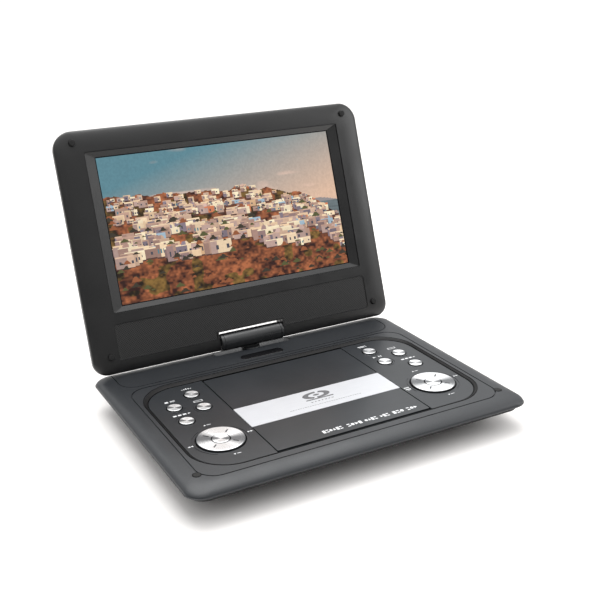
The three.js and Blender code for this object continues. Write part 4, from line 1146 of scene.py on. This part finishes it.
def makeScrews():
    head, height = screwParts["head"], screwParts["height"]
    profile = [(0, 0), (head - screwParts["edge"], 0), (head, screwParts["edgeRise"]), (head, height),
               (0, height)]
    long, half, top = screwParts["crossLong"], screwParts["crossHalf"], screwParts["crossTop"]
    headZ = (tubParts["underside"] + screwParts["lift"]) * mm
    for index, (x, y) in enumerate(screwPlaces()):
        screw = asObject(f"screw_{index + 1}", turned(profile, 32), Matrix.Translation((x, y, headZ)))
        cross = [(block(-long, long, -half, half, -1, top), screw.matrix_world.copy()),
                 (block(-half, half, -long, long, -1, top), screw.matrix_world.copy())]
        carve(screw, cross)
        finishPiece(screw, finishes["hinge"], "base", edge=0.05)


footParts = {"middle": 0.25, "hollow": (2.2, 0.2), "ring": 1.6, "edge": 0.7}


def makeFeet():
    hollowIn, hollowUp = footParts["hollow"]
    edge = footParts["edge"]
    for name in footNames:
        node = "foot_" + name
        low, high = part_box(node)
        radius = (high.y - low.y) / 2 / mm
        depth = (high.z - low.z) / mm
        profile = [(0, footParts["middle"]), (radius - hollowIn, hollowUp), (radius - footParts["ring"], 0)]
        profile += arcProfile(radius - edge, edge, edge, -90, 0)
        profile += [(radius, depth), (0, depth)]
        middle = centreOf(node)
        foot = asObject("pad_" + name, turned(profile, 56), Matrix.Translation((middle.x, middle.y, low.z)))
        finishPiece(foot, finishes["rubber"], "base", [node])


makeTub()
makeScrews()
makeFeet()
print("tub, screws and feet built")

# the hinge barrel and the post that it swivels on
hingeParts = {
    "radius": 7.5, "half": 29.5, "cap": 2.6, "seam": 0.35, "seamDepth": 0.35, "seamFloor": 0.6, "bore": 1.65,
    "edge": 0.8,
}
postParts = {
    "foot": 5.6, "footTop": 2, "neck": 3.6, "seat": 23.5, "flange": 8, "underEdge": 0.4, "topEdge": 0.6,
}


def makeBarrel():
    radius, half, seam = hingeParts["radius"], hingeParts["half"], hingeParts["seam"]
    bore, edge = hingeParts["bore"], hingeParts["edge"]
    floor, slope = radius - hingeParts["seamDepth"], seam * hingeParts["seamFloor"]
    profile = [(bore, -half)]
    profile += arcProfile(radius - edge, -half + edge, edge, -90, 0)
    for sign in (-1, 1):
        capEdge = sign * (half - hingeParts["cap"])
        profile += [(radius, capEdge - seam), (floor, capEdge - slope), (floor, capEdge + slope),
                    (radius, capEdge + seam)]
    profile += arcProfile(radius - edge, half - edge, edge, 0, 90)
    profile += [(bore, half)]
    barrel = asObject("barrel_fine", turned(profile, 96, closed=True), atTiltAxis @ alongX)
    finishPiece(barrel, finishes["hinge"], "swivel", ["hinge_barrel"])


def makePost():
    low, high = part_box("swivel_post")
    top = (high.z - low.z) / mm
    seatZ = postParts["seat"] - low.z / mm
    foot, footTop, neck = postParts["foot"], postParts["footTop"], postParts["neck"]
    flange, under, edge = postParts["flange"], postParts["underEdge"], postParts["topEdge"]
    profile = [(0, 0), (foot, 0), (foot, footTop), (neck, footTop), (neck, seatZ), (flange - under, seatZ),
               (flange, seatZ + under)]
    profile += arcProfile(flange - edge, top - edge, edge, 0, 90) + [(0, top)]
    post = asObject("post_fine", turned(profile, 64), Matrix.Translation((0, tiltJoint["pos_m"][1], low.z)))
    finishPiece(post, finishes["hinge"], "swivel", ["swivel_post"])


makeBarrel()
makePost()
print("hinge built")

# the lid, in its own frame: x across, y up the lid, z out of its face
lidParts = {
    "width": 281, "height": 198.3, "thickness": 12.4, "below": 6.5, "face": 4.9, "bezel": 4, "plate": 3.1,
    "corners": (12, 12, 16, 16), "crown": 17, "crownRise": 3.5, "crownSteps": 14, "wallIn": 2, "edge": 0.14,
    "display": (217, 122.4, 53), "displayCorner": 0.6, "bevel": (8.7, 4.4), "bevelCorner": 1.2,
    "windowStep": 0.3, "bevelDepth": 0.45, "line": 0.7, "lineDepth": 0.9,
    "grille": (238, 29.8, 10), "grilleCorner": 3, "grilleSink": 0.5, "grilleDepth": 1.8,
    "notchHalf": 30.4, "notchTop": 8.4, "notchRim": 1.4, "notchExtra": 0.8,
    "bumperIn": 15.2, "bumperEnds": (14.2, 9.8), "bumperSeat": (2.9, 1.5),
}
backParts = {
    "edge": 6, "edgeSteps": 12, "seamGap": 0.3, "floorIn": 0.6, "floor": 1.8, "wall": 2.5, "wallRise": 0.6,
    "hingeRoom": 9.5, "hingeRoomTop": 5, "notchWall": 2, "shaftBore": 1.8, "shaftReach": 8,
}
lidBumperParts = {"radius": 2.6, "top": 1.6, "seat": 1.2, "edge": 0.7}
lidLow = -lidParts["below"]
lidTop = lidParts["height"] - lidParts["below"]
faceZ = lidParts["face"]
backZ = faceZ - lidParts["thickness"]
seamZ = faceZ - lidParts["bezel"]
plateZ = faceZ - lidParts["plate"]
lidPlan = plan(-lidParts["width"] / 2, lidParts["width"] / 2, lidLow, lidTop, lidParts["corners"])
displayWidth, displayHeight, displayUp = lidParts["display"]
displayPlan = plan(-displayWidth / 2, displayWidth / 2, lidLow + displayUp,
                   lidLow + displayUp + displayHeight, lidParts["displayCorner"])
bevelX, bevelY = lidParts["bevel"]
bevelPlan = plan(displayPlan["x"][0] - bevelX, displayPlan["x"][1] + bevelX, displayPlan["y"][0] - bevelY,
                 displayPlan["y"][1] + bevelY, lidParts["bevelCorner"])
grilleWidth, grilleHeight, grilleUp = lidParts["grille"]
grillePlan = plan(-grilleWidth / 2, grilleWidth / 2, lidLow + grilleUp, lidLow + grilleUp + grilleHeight,
                  lidParts["grilleCorner"])
notchHalf, notchTop, notchRim = lidParts["notchHalf"], lidParts["notchTop"], lidParts["notchRim"]


def hingeNotch():
    # the gap in the lid's lower edge that the barrel sits in
    return block(-notchHalf, notchHalf, lidLow - 5, notchTop + lidParts["notchExtra"], backZ - 2, faceZ + 2)


def makeBezel():
    crown, rise, count = lidParts["crown"], lidParts["crownRise"], lidParts["crownSteps"]
    levels = [(lidPlan, seamZ)]
    for i in range(count + 1):
        angle = math.pi / 2 * i / count
        levels.append((inset(lidPlan, crown * (1 - math.cos(angle))), faceZ - rise + rise * math.sin(angle)))
    bezel = asObject("bezel_fine", loft(levels, 20), atLid)
    over = faceZ + 1
    # the grille's seat stops short of the notch
    rimHalf, rimTop = notchHalf + notchRim, notchTop + notchRim
    grilleCut = asObject("grille_cut", slab(grillePlan, faceZ - lidParts["grilleDepth"], over, 8), atLid)
    carve(grilleCut, [(block(-rimHalf, rimHalf, lidLow - 3, rimTop, -20, 20), atLid)])
    tools = [
        (slab(inset(lidPlan, lidParts["wallIn"]), seamZ - 1, plateZ, 12), atLid),
        (loft([(displayPlan, seamZ - 1), (displayPlan, plateZ + lidParts["windowStep"]),
               (bevelPlan, faceZ - lidParts["bevelDepth"]), (bevelPlan, over)], 6), atLid),
        (hingeNotch(), atLid),
        (ringGroove(bevelPlan, lidParts["line"], faceZ - lidParts["lineDepth"], over, 6), atLid),
    ]
    seatRadius, seatDepth = lidParts["bumperSeat"]
    for name in bumperNodes:
        tools.append((rod(seatRadius, faceZ - seatDepth, over, 32), atLid @ bumperPlace(name)))
    carve(bezel, tools)
    carveWith(bezel, [grilleCut])
    finishPiece(bezel, finishes["lid"], "screen", ["screen_bezel"], edge=lidParts["edge"])


bumperNodes = ["bottom_left", "bottom_right", "top_left", "top_right"]


def bumperPlace(name):
    end, side = name.split("_")
    x = lidParts["width"] / 2 - lidParts["bumperIn"]
    y = lidLow + lidParts["bumperEnds"][0] if end == "bottom" else lidTop - lidParts["bumperEnds"][1]
    return Matrix.Translation(((-x if side == "left" else x) * mm, y * mm, 0))


def makeLidBumpers():
    radius, edge, top = lidBumperParts["radius"], lidBumperParts["edge"], faceZ + lidBumperParts["top"]
    bottom = faceZ - lidBumperParts["seat"]
    profile = [(0, bottom), (radius, bottom)] + arcProfile(radius - edge, top - edge, edge, 0, 90, 6)
    profile.append((0, top))
    for name in bumperNodes:
        bumper = asObject("bumper_lid_" + name, turned(profile, 40), atLid @ bumperPlace(name))
        finishPiece(bumper, finishes["rubber"], "screen", ["screen_bumper_" + name])


def makeBackShell():
    edge, count = backParts["edge"], backParts["edgeSteps"]
    levels = []
    for i in range(count + 1):
        angle = math.pi / 2 * i / count
        levels.append((inset(lidPlan, edge * (1 - math.sin(angle))), backZ + edge * (1 - math.cos(angle))))
    levels.append((lidPlan, seamZ - backParts["seamGap"]))
    shell = asObject("back_fine", loft(levels, 20), atLid)
    hollow = loft([(inset(lidPlan, edge + backParts["floorIn"]), backZ + backParts["floor"]),
                   (inset(lidPlan, backParts["wall"]), backZ + edge - backParts["wallRise"]),
                   (inset(lidPlan, lidParts["wallIn"]), seamZ + 1)], 12)
    hollowPiece = asObject("hollow_cut", hollow, atLid)
    # the hollow keeps clear of the hinge and of the notch
    roomHalf, wall = hingeParts["half"] + backParts["hingeRoom"], backParts["notchWall"]
    hingeRoom = block(-roomHalf, roomHalf, lidLow - 1, backParts["hingeRoomTop"], backZ - 1, faceZ)
    notchRoom = block(-notchHalf - wall, notchHalf + wall, lidLow - 1, notchTop + wall, backZ - 1, faceZ)
    carve(hollowPiece, [(hingeRoom, atLid), (notchRoom, atLid)])
    carveWith(shell, [hollowPiece])
    reach = hingeParts["half"] + backParts["shaftReach"]
    carve(shell, [(hingeNotch(), atLid), (rod(backParts["shaftBore"], -reach, reach, 24), atLid @ alongX)])
    finishPiece(shell, finishes["lid"], "screen", ["screen_back_shell"], edge=lidParts["edge"])


def closeSheet(bm, grid, bottom):
    # sides and a back turn a grid of points into a closed plate
    edgeLoop = grid[0] + [line[-1] for line in grid[1:]] + list(reversed(grid[-1][:-1]))
    edgeLoop += [line[0] for line in reversed(grid[1:-1])]
    lower = [bm.verts.new((v.co.x, v.co.y, bottom * mm)) for v in edgeLoop]
    skin(bm, lower, edgeLoop)
    bm.faces.new(list(reversed(lower)))


def makeGrille():
    # the face dips at every hole; the rim stays flat, and the sides and back close it
    pitch, gap, flatRim = grilleParts["pitch"], grilleParts["gap"], grilleParts["flatRim"]
    shape = inset(grillePlan, gap)
    (x0, x1), (y0, y1) = shape["x"], shape["y"]
    top = faceZ - lidParts["grilleSink"]
    step = pitch / grilleParts["bend"]
    columns = round((x1 - x0) / step)
    rows = round((y1 - y0) / step)
    bm = bmesh.new()
    upper = []
    for j in range(rows + 1):
        line = []
        for i in range(columns + 1):
            x = x0 + (x1 - x0) * i / columns
            y = y0 + (y1 - y0) * j / rows
            wave = math.cos(2 * math.pi * x / pitch) * math.cos(2 * math.pi * y / pitch)
            rim = min(x - x0, x1 - x, y - y0, y1 - y)
            dip = grilleParts["dip"] * max(0.0, wave) if rim > flatRim else 0.0
            line.append(bm.verts.new((x * mm, y * mm, (top - dip) * mm)))
        upper.append(line)
    for j in range(rows):
        for i in range(columns):
            bm.faces.new((upper[j][i], upper[j][i + 1], upper[j + 1][i + 1], upper[j + 1][i]))
    closeSheet(bm, upper, top - grilleParts["thickness"])
    grille = asObject("grille_fine", bm, atLid)
    rimHalf, rimTop = notchHalf + notchRim + gap, notchTop + notchRim + gap
    carve(grille, [(block(-rimHalf, rimHalf, lidLow, rimTop, faceZ - 5, faceZ + 2), atLid)])
    finishPiece(grille, finishes["grille"], "screen", ["speaker_grille"], sharp=60)


makeBezel()
makeLidBumpers()
makeBackShell()
makeGrille()
print("lid built")

# the picture on the screen is a made-up hillside village by the sea, painted in code
pictureParts = {
    "cell": 0.62, "border": 0.9, "seed": 7, "houses": 520, "bushes": 150, "seaLine": 0.485,
    "skyTop": (0.11, 0.24, 0.29), "skyLow": (0.74, 0.50, 0.36), "sea": (0.13, 0.16, 0.17),
    "cloud": (0.9, 0.62, 0.5), "island": (0.30, 0.27, 0.27), "islandHeight": 0.035,
    "green": (0.55, 0.95, 0.6),
    "rockDark": (0.035, 0.012, 0.008), "rockLight": (0.46, 0.15, 0.06), "eaves": (0.10, 0.05, 0.04),
    "walls": [(0.78, 0.56, 0.36), (0.93, 0.78, 0.54), (0.86, 0.66, 0.44), (0.46, 0.29, 0.22),
              (0.62, 0.42, 0.30)],
    "brightWalls": [(0.34, 0.46, 0.55), (0.62, 0.20, 0.09), (0.66, 0.42, 0.24)],
    "shades": [(0.26, 0.17, 0.16), (0.20, 0.16, 0.19), (0.34, 0.21, 0.17), (0.42, 0.29, 0.25)],
    "windows": [(0.07, 0.07, 0.09), (0.10, 0.22, 0.26)],
    "bushColours": [(0.10, 0.10, 0.035), (0.30, 0.10, 0.04), (0.05, 0.04, 0.025)],
}
displayParts = {"hidden": 3.5, "behind": 0.3, "thickness": 4}


def smoothNoise(rng, rows, columns, cells):
    # value noise with soft steps between random grid values
    grid = rng.random((cells[0] + 2, cells[1] + 2))
    y = np.linspace(0, cells[0], rows, endpoint=False)
    x = np.linspace(0, cells[1], columns, endpoint=False)
    iy, ix = y.astype(int), x.astype(int)
    fy, fx = y - iy, x - ix
    fy, fx = fy * fy * (3 - 2 * fy), fx * fx * (3 - 2 * fx)
    fy, fx = fy[:, None], fx[None, :]
    a = grid[np.ix_(iy, ix)]
    b = grid[np.ix_(iy, ix + 1)]
    c = grid[np.ix_(iy + 1, ix)]
    d = grid[np.ix_(iy + 1, ix + 1)]
    return a * (1 - fy) * (1 - fx) + b * (1 - fy) * fx + c * fy * (1 - fx) + d * fy * fx


def paintPicture(columns, rows):
    # row 0 is the lowest line of the picture
    rng = np.random.default_rng(pictureParts["seed"])
    up = np.linspace(0, 1, rows)[:, None]
    across = np.linspace(0, 1, columns)[None, :]
    warm = np.clip(1.22 - 1.35 * up + 0.75 * (across - 0.25), 0, 1)[..., None] ** 1.1
    picture = np.array(pictureParts["skyTop"]) * (1 - warm) + np.array(pictureParts["skyLow"]) * warm
    cloud = smoothNoise(rng, rows, columns, (26, 9)) * smoothNoise(rng, rows, columns, (9, 4))
    cloud = np.clip((cloud - 0.42) * 3, 0, 0.5) * np.clip((up - 0.45) * 6, 0, 1)
    picture += cloud[..., None] * (np.array(pictureParts["cloud"]) - picture)
    seaLine = pictureParts["seaLine"]
    shimmer = smoothNoise(rng, rows, columns, (90, 14))
    seaColour = np.array(pictureParts["sea"]) * (0.85 + 0.4 * shimmer[..., None])
    picture = np.where((up < seaLine)[..., None], seaColour, picture)
    islandTop = seaLine + pictureParts["islandHeight"] * np.clip(np.sin((across - 0.78) * 14), 0, 1)
    island = (up > seaLine) & (up < islandTop)
    picture = np.where(island[..., None], np.array(pictureParts["island"]), picture)
    # the hill falls from the left towards the sea
    wobble = smoothNoise(rng, 1, columns, (1, 22))[0] * 0.035
    wobble = wobble + smoothNoise(rng, 1, columns, (1, 70))[0] * 0.012
    x = across[0]
    ridge = 0.70 - 0.10 * x - 0.42 * np.clip(x - 0.62, 0, 1) ** 1.15 - 0.9 * np.clip(x - 0.86, 0, 1) + wobble
    rock = 0.45 * smoothNoise(rng, rows, columns, (34, 46)) + 0.3 * smoothNoise(rng, rows, columns, (80, 110))
    rock += 0.25 * smoothNoise(rng, rows, columns, (12, 14))
    rock = np.clip((rock - 0.25) * 2, 0, 1)[..., None] ** 1.3
    rockColour = np.array(pictureParts["rockDark"]) * (1 - rock) + np.array(pictureParts["rockLight"]) * rock
    green = smoothNoise(rng, rows, columns, (16, 22))[..., None] > 0.66
    rockColour = np.where(green, rockColour * np.array(pictureParts["green"]), rockColour)
    hill = up < ridge[None, :]
    picture = np.where(hill[..., None], rockColour, picture)

    def fill(x0, x1, y0, y1, colour):
        ax, bx = int(max(0, x0)), int(min(columns, x1))
        ay, by = int(max(0, y0)), int(min(rows, y1))
        if bx > ax and by > ay:
            picture[ay:by, ax:bx] = colour

    walls, shades = pictureParts["walls"], pictureParts["shades"]
    homes = []
    while len(homes) < pictureParts["houses"]:
        hx = rng.random()
        top = np.interp(hx, x, ridge)
        band = rng.random() ** 0.85
        depth = band * (0.50 - 0.14 * hx) * (1.0 if hx < 0.8 else 0.7)
        patch = math.sin(hx * 21 + depth * 17) + math.sin(hx * 9 - depth * 31)
        if depth > 0.16 and patch < -0.35:
            continue  # bare slope between the terraces
        homes.append((top - depth, hx, depth))
    homes.sort(reverse=True)
    for hy, hx, depth in homes:
        size = 0.5 + 2.7 * depth
        width = (7 + 13 * rng.random()) * size
        height = (5 + 7 * rng.random()) * size
        left, low = hx * columns, hy * rows - 2
        wall = np.array(walls[rng.integers(len(walls))]) * (0.86 + 0.25 * rng.random())
        if rng.random() < 0.07:
            wall = np.array(pictureParts["brightWalls"][rng.integers(3)])
        shade = np.array(shades[rng.integers(len(shades))]) * (0.9 + 0.4 * rng.random())
        split = left + width * (0.3 + 0.45 * rng.random())
        fill(left, split, low, low + height, shade)
        fill(split, left + width, low, low + height, wall)
        fill(left, left + width, low + height - 1, low + height + 0.6, wall * 1.08)
        fill(left, left + width, low - 1.4, low, np.array(pictureParts["eaves"]))
        if rng.random() < 0.12:
            domeX, domeRadius = (left + split) / 2 + width * 0.25, width * 0.24
            for lift in range(int(domeRadius)):
                reach = math.sqrt(domeRadius ** 2 - lift ** 2)
                level, lit = low + height + lift, domeX + reach * 0.3
                fill(domeX - reach, lit, level, level + 1, shade * 1.3)
                fill(lit, domeX + reach, level, level + 1, wall)
        openings = rng.integers(1, 4)
        for k in range(openings):
            windowX = left + width * (k + 0.5) / openings
            windowWidth = max(1.0, width * 0.07)
            glass = np.array(pictureParts["windows"][0 if rng.random() < 0.8 else 1])
            sill, tall = low + height * 0.3, max(1.5, height * 0.3)
            fill(windowX, windowX + windowWidth + 1, sill, sill + tall, glass)
    for bush in range(pictureParts["bushes"]):
        bx, by = rng.random(), rng.random() * 0.6
        if by > np.interp(bx, x, ridge) - 0.03:
            continue
        span = 2 + 5 * rng.random()
        colour = np.array(pictureParts["bushColours"][rng.integers(3)])
        for lift in range(int(span)):
            reach = span * (1 - lift / span) * (0.8 + 0.5 * rng.random())
            fill(bx * columns - reach, bx * columns + reach, by * rows + lift, by * rows + lift + 1, colour)
    picture *= 0.93 + 0.14 * smoothNoise(rng, rows, columns, (rows // 2, columns // 2))[..., None]
    return np.clip(picture, 0, 1)


def makeDisplay():
    hidden = displayParts["hidden"]
    shape = inset(displayPlan, -hidden)
    (x0, x1), (y0, y1) = shape["x"], shape["y"]
    top = plateZ - displayParts["behind"]
    cell = pictureParts["cell"]
    columns, rows = round((x1 - x0) / cell), round((y1 - y0) / cell)
    bm = bmesh.new()
    grid = []
    for j in range(rows + 1):
        y = y0 + (y1 - y0) * j / rows
        grid.append([bm.verts.new(((x0 + (x1 - x0) * i / columns) * mm, y * mm, top * mm))
                     for i in range(columns + 1)])
    for j in range(rows):
        for i in range(columns):
            bm.faces.new((grid[j][i], grid[j][i + 1], grid[j + 1][i + 1], grid[j + 1][i]))
    closeSheet(bm, grid, top - displayParts["thickness"])
    panel = asObject("display_fine", bm, atLid)
    mesh = panel.data
    # one face is one cell of the picture, inside a black border
    edge = round((hidden + pictureParts["border"]) / cell)
    inner = paintPicture(columns - 2 * edge, rows - 2 * edge)
    picture = np.zeros((rows, columns, 3))
    picture[edge:rows - edge, edge:columns - edge] = inner
    colours = np.zeros((len(mesh.polygons), 4), np.float32)
    colours[:, 3] = 1
    colours[:rows * columns, :3] = picture.reshape(-1, 3)
    perCorner = np.repeat(colours, [len(p.vertices) for p in mesh.polygons], axis=0)
    layer = mesh.color_attributes.new("picture", "FLOAT_COLOR", "CORNER")
    layer.data.foreach_set("color", perCorner.ravel())
    finishPiece(panel, finishes["screen"], "screen", ["display_panel"])


makeDisplay()
print("display painted")

# these CAD nodes keep their own shape and get a better finish
keptNodes = {
    "disc_deck": "inner", "mechanism_chassis": "zinc", "spindle_motor": "motor", "spindle_hub": "inner",
    "guide_rod_front": "steel", "guide_rod_back": "steel", "laser_sled": "inner", "pickup_lens": "lens",
    "lead_screw": "steel", "sled_motor": "motor", "main_board": "board", "battery_pack": "battery",
    "dc_jack": "inner", "headphone_jack": "inner", "video_jack": "inner", "power_switch": "inner",
    "tilt_shaft": "steel", "display_board": "board", "speaker_left": "cone", "speaker_right": "cone",
    "door_hinge_rod": "steel", "dial_pad_left": "rubber", "dial_pad_right": "rubber",
}
keptEdge = {"width": 0.12, "angle": 40}
for nodeName, finishName in keptNodes.items():
    node = frame["nodes"][nodeName]
    for slotIndex in range(max(1, len(node.material_slots))):
        if node.material_slots:
            node.material_slots[slotIndex].material = finishes[finishName]
        else:
            node.data.materials.append(finishes[finishName])
    addSoftEdge(node, keptEdge["width"], keptEdge["angle"])
print("kept nodes finished:", len(keptNodes))

# floor, lights and camera
studioParts = {
    "floorSize": 9.0, "floorColour": (0.91, 0.89, 0.875), "skyDark": 0.05, "skyBright": 0.8, "skyHigh": 2.05,
    "brightSide": (0.3, 0.95, 0), "floorRings": (0.0005, 0.3, 1.0), "floorSides": 96, "floorGrain": 60,
    "floorShade": 0.01, "floorRoughness": 0.75, "floorGloss": 0.1,
    "keySize": 1.1, "keyPower": 10, "keyPlace": (0.08, 0.42, 1.02), "fillSize": 0.6, "fillPower": 3.0,
    "fillPlace": (0.95, -0.45, 0.55), "lens": 58.62, "cameraPlace": (-0.3305, -0.63046, 0.3560),
    "yaw": -28.274, "pitch": 20.239, "roll": -0.9075,
}


def makeFloor():
    bm = bmesh.new()
    rings = []
    sides = studioParts["floorSides"]
    for radius in (*studioParts["floorRings"], studioParts["floorSize"]):
        angles = [2 * math.pi * i / sides for i in range(sides)]
        rings.append([bm.verts.new((radius * math.cos(a), radius * math.sin(a), 0)) for a in angles])
    for lower, upper in zip(rings, rings[1:]):
        skin(bm, lower, upper)
    bm.faces.new(rings[0])
    floor = asObject("studio_floor", bm, Matrix.Identity(4))
    board = NodeBoard("floor paint")
    grain = board.noise(studioParts["floorGrain"], 3.0)
    light = studioParts["floorColour"]
    shaded = tuple(value - studioParts["floorShade"] for value in light)
    board.paint(grain, [(0.3, shaded), (0.7, light)])
    board.setShader(Roughness=studioParts["floorRoughness"], Specular_IOR_Level=studioParts["floorGloss"])
    floor.data.materials.append(board.material)


def makeWorld():
    world = bpy.data.worlds.new("studio")
    bpy.context.scene.world = world
    world.use_nodes = True
    nodes, links = world.node_tree.nodes, world.node_tree.links
    background = nodes["Background"]
    coords = nodes.new("ShaderNodeTexCoord")
    parts = nodes.new("ShaderNodeSeparateXYZ")
    links.new(coords.outputs["Generated"], parts.inputs["Vector"])
    rise = nodes.new("ShaderNodeMath")
    rise.operation = "MAXIMUM"
    rise.inputs[1].default_value = 0.0
    links.new(parts.outputs["Z"], rise.inputs[0])
    square = nodes.new("ShaderNodeMath")
    square.operation = "MULTIPLY"
    links.new(rise.outputs[0], square.inputs[0])
    links.new(rise.outputs[0], square.inputs[1])
    height = nodes.new("ShaderNodeMapRange")
    height.inputs["To Max"].default_value = studioParts["skyHigh"]
    links.new(square.outputs[0], height.inputs["Value"])
    # low down the room is dark in front and to the left, and brighter behind and to the right
    across = nodes.new("ShaderNodeVectorMath")
    across.operation = "DOT_PRODUCT"
    across.inputs[1].default_value = studioParts["brightSide"]
    links.new(coords.outputs["Generated"], across.inputs[0])
    side = nodes.new("ShaderNodeMapRange")
    side.inputs["From Min"].default_value = -1.0
    side.inputs["To Min"].default_value = studioParts["skyDark"]
    side.inputs["To Max"].default_value = studioParts["skyBright"]
    links.new(across.outputs["Value"], side.inputs["Value"])
    links.new(side.outputs["Result"], height.inputs["To Min"])
    path = nodes.new("ShaderNodeLightPath")
    pick = nodes.new("ShaderNodeMix")
    links.new(path.outputs["Is Camera Ray"], pick.inputs["Factor"])
    links.new(height.outputs["Result"], pick.inputs["A"])
    pick.inputs["B"].default_value = 1.0
    links.new(pick.outputs["Result"], background.inputs["Strength"])
    background.inputs["Color"].default_value = (1, 1, 1, 1)


def addSoftLight(name, size, power, place):
    light = bpy.data.lights.new(name, "AREA")
    light.shape = "SQUARE"
    light.size = size
    light.energy = power
    lamp = bpy.data.objects.new(name, light)
    lamp.location = place
    lamp.rotation_euler = (Vector((0, 0, 0.05)) - Vector(place)).to_track_quat("-Z", "Y").to_euler()
    bpy.context.scene.collection.objects.link(lamp)


def makeCamera():
    lens = bpy.data.cameras.new("camera")
    lens.lens = studioParts["lens"]
    lens.sensor_width = 36
    lens.clip_start = 0.01
    camera = bpy.data.objects.new("camera", lens)
    camera.matrix_world = (Matrix.Translation(studioParts["cameraPlace"])
                           @ Matrix.Rotation(math.radians(studioParts["yaw"]), 4, "Z")
                           @ Matrix.Rotation(math.radians(90 - studioParts["pitch"]), 4, "X")
                           @ Matrix.Rotation(math.radians(studioParts["roll"]), 4, "Z"))
    bpy.context.scene.collection.objects.link(camera)
    bpy.context.scene.camera = camera


makeFloor()
makeWorld()
addSoftLight("key", studioParts["keySize"], studioParts["keyPower"], studioParts["keyPlace"])
addSoftLight("fill", studioParts["fillSize"], studioParts["fillPower"], studioParts["fillPlace"])
makeCamera()
bpy.context.scene.view_settings.view_transform = "Standard"
print("studio ready")
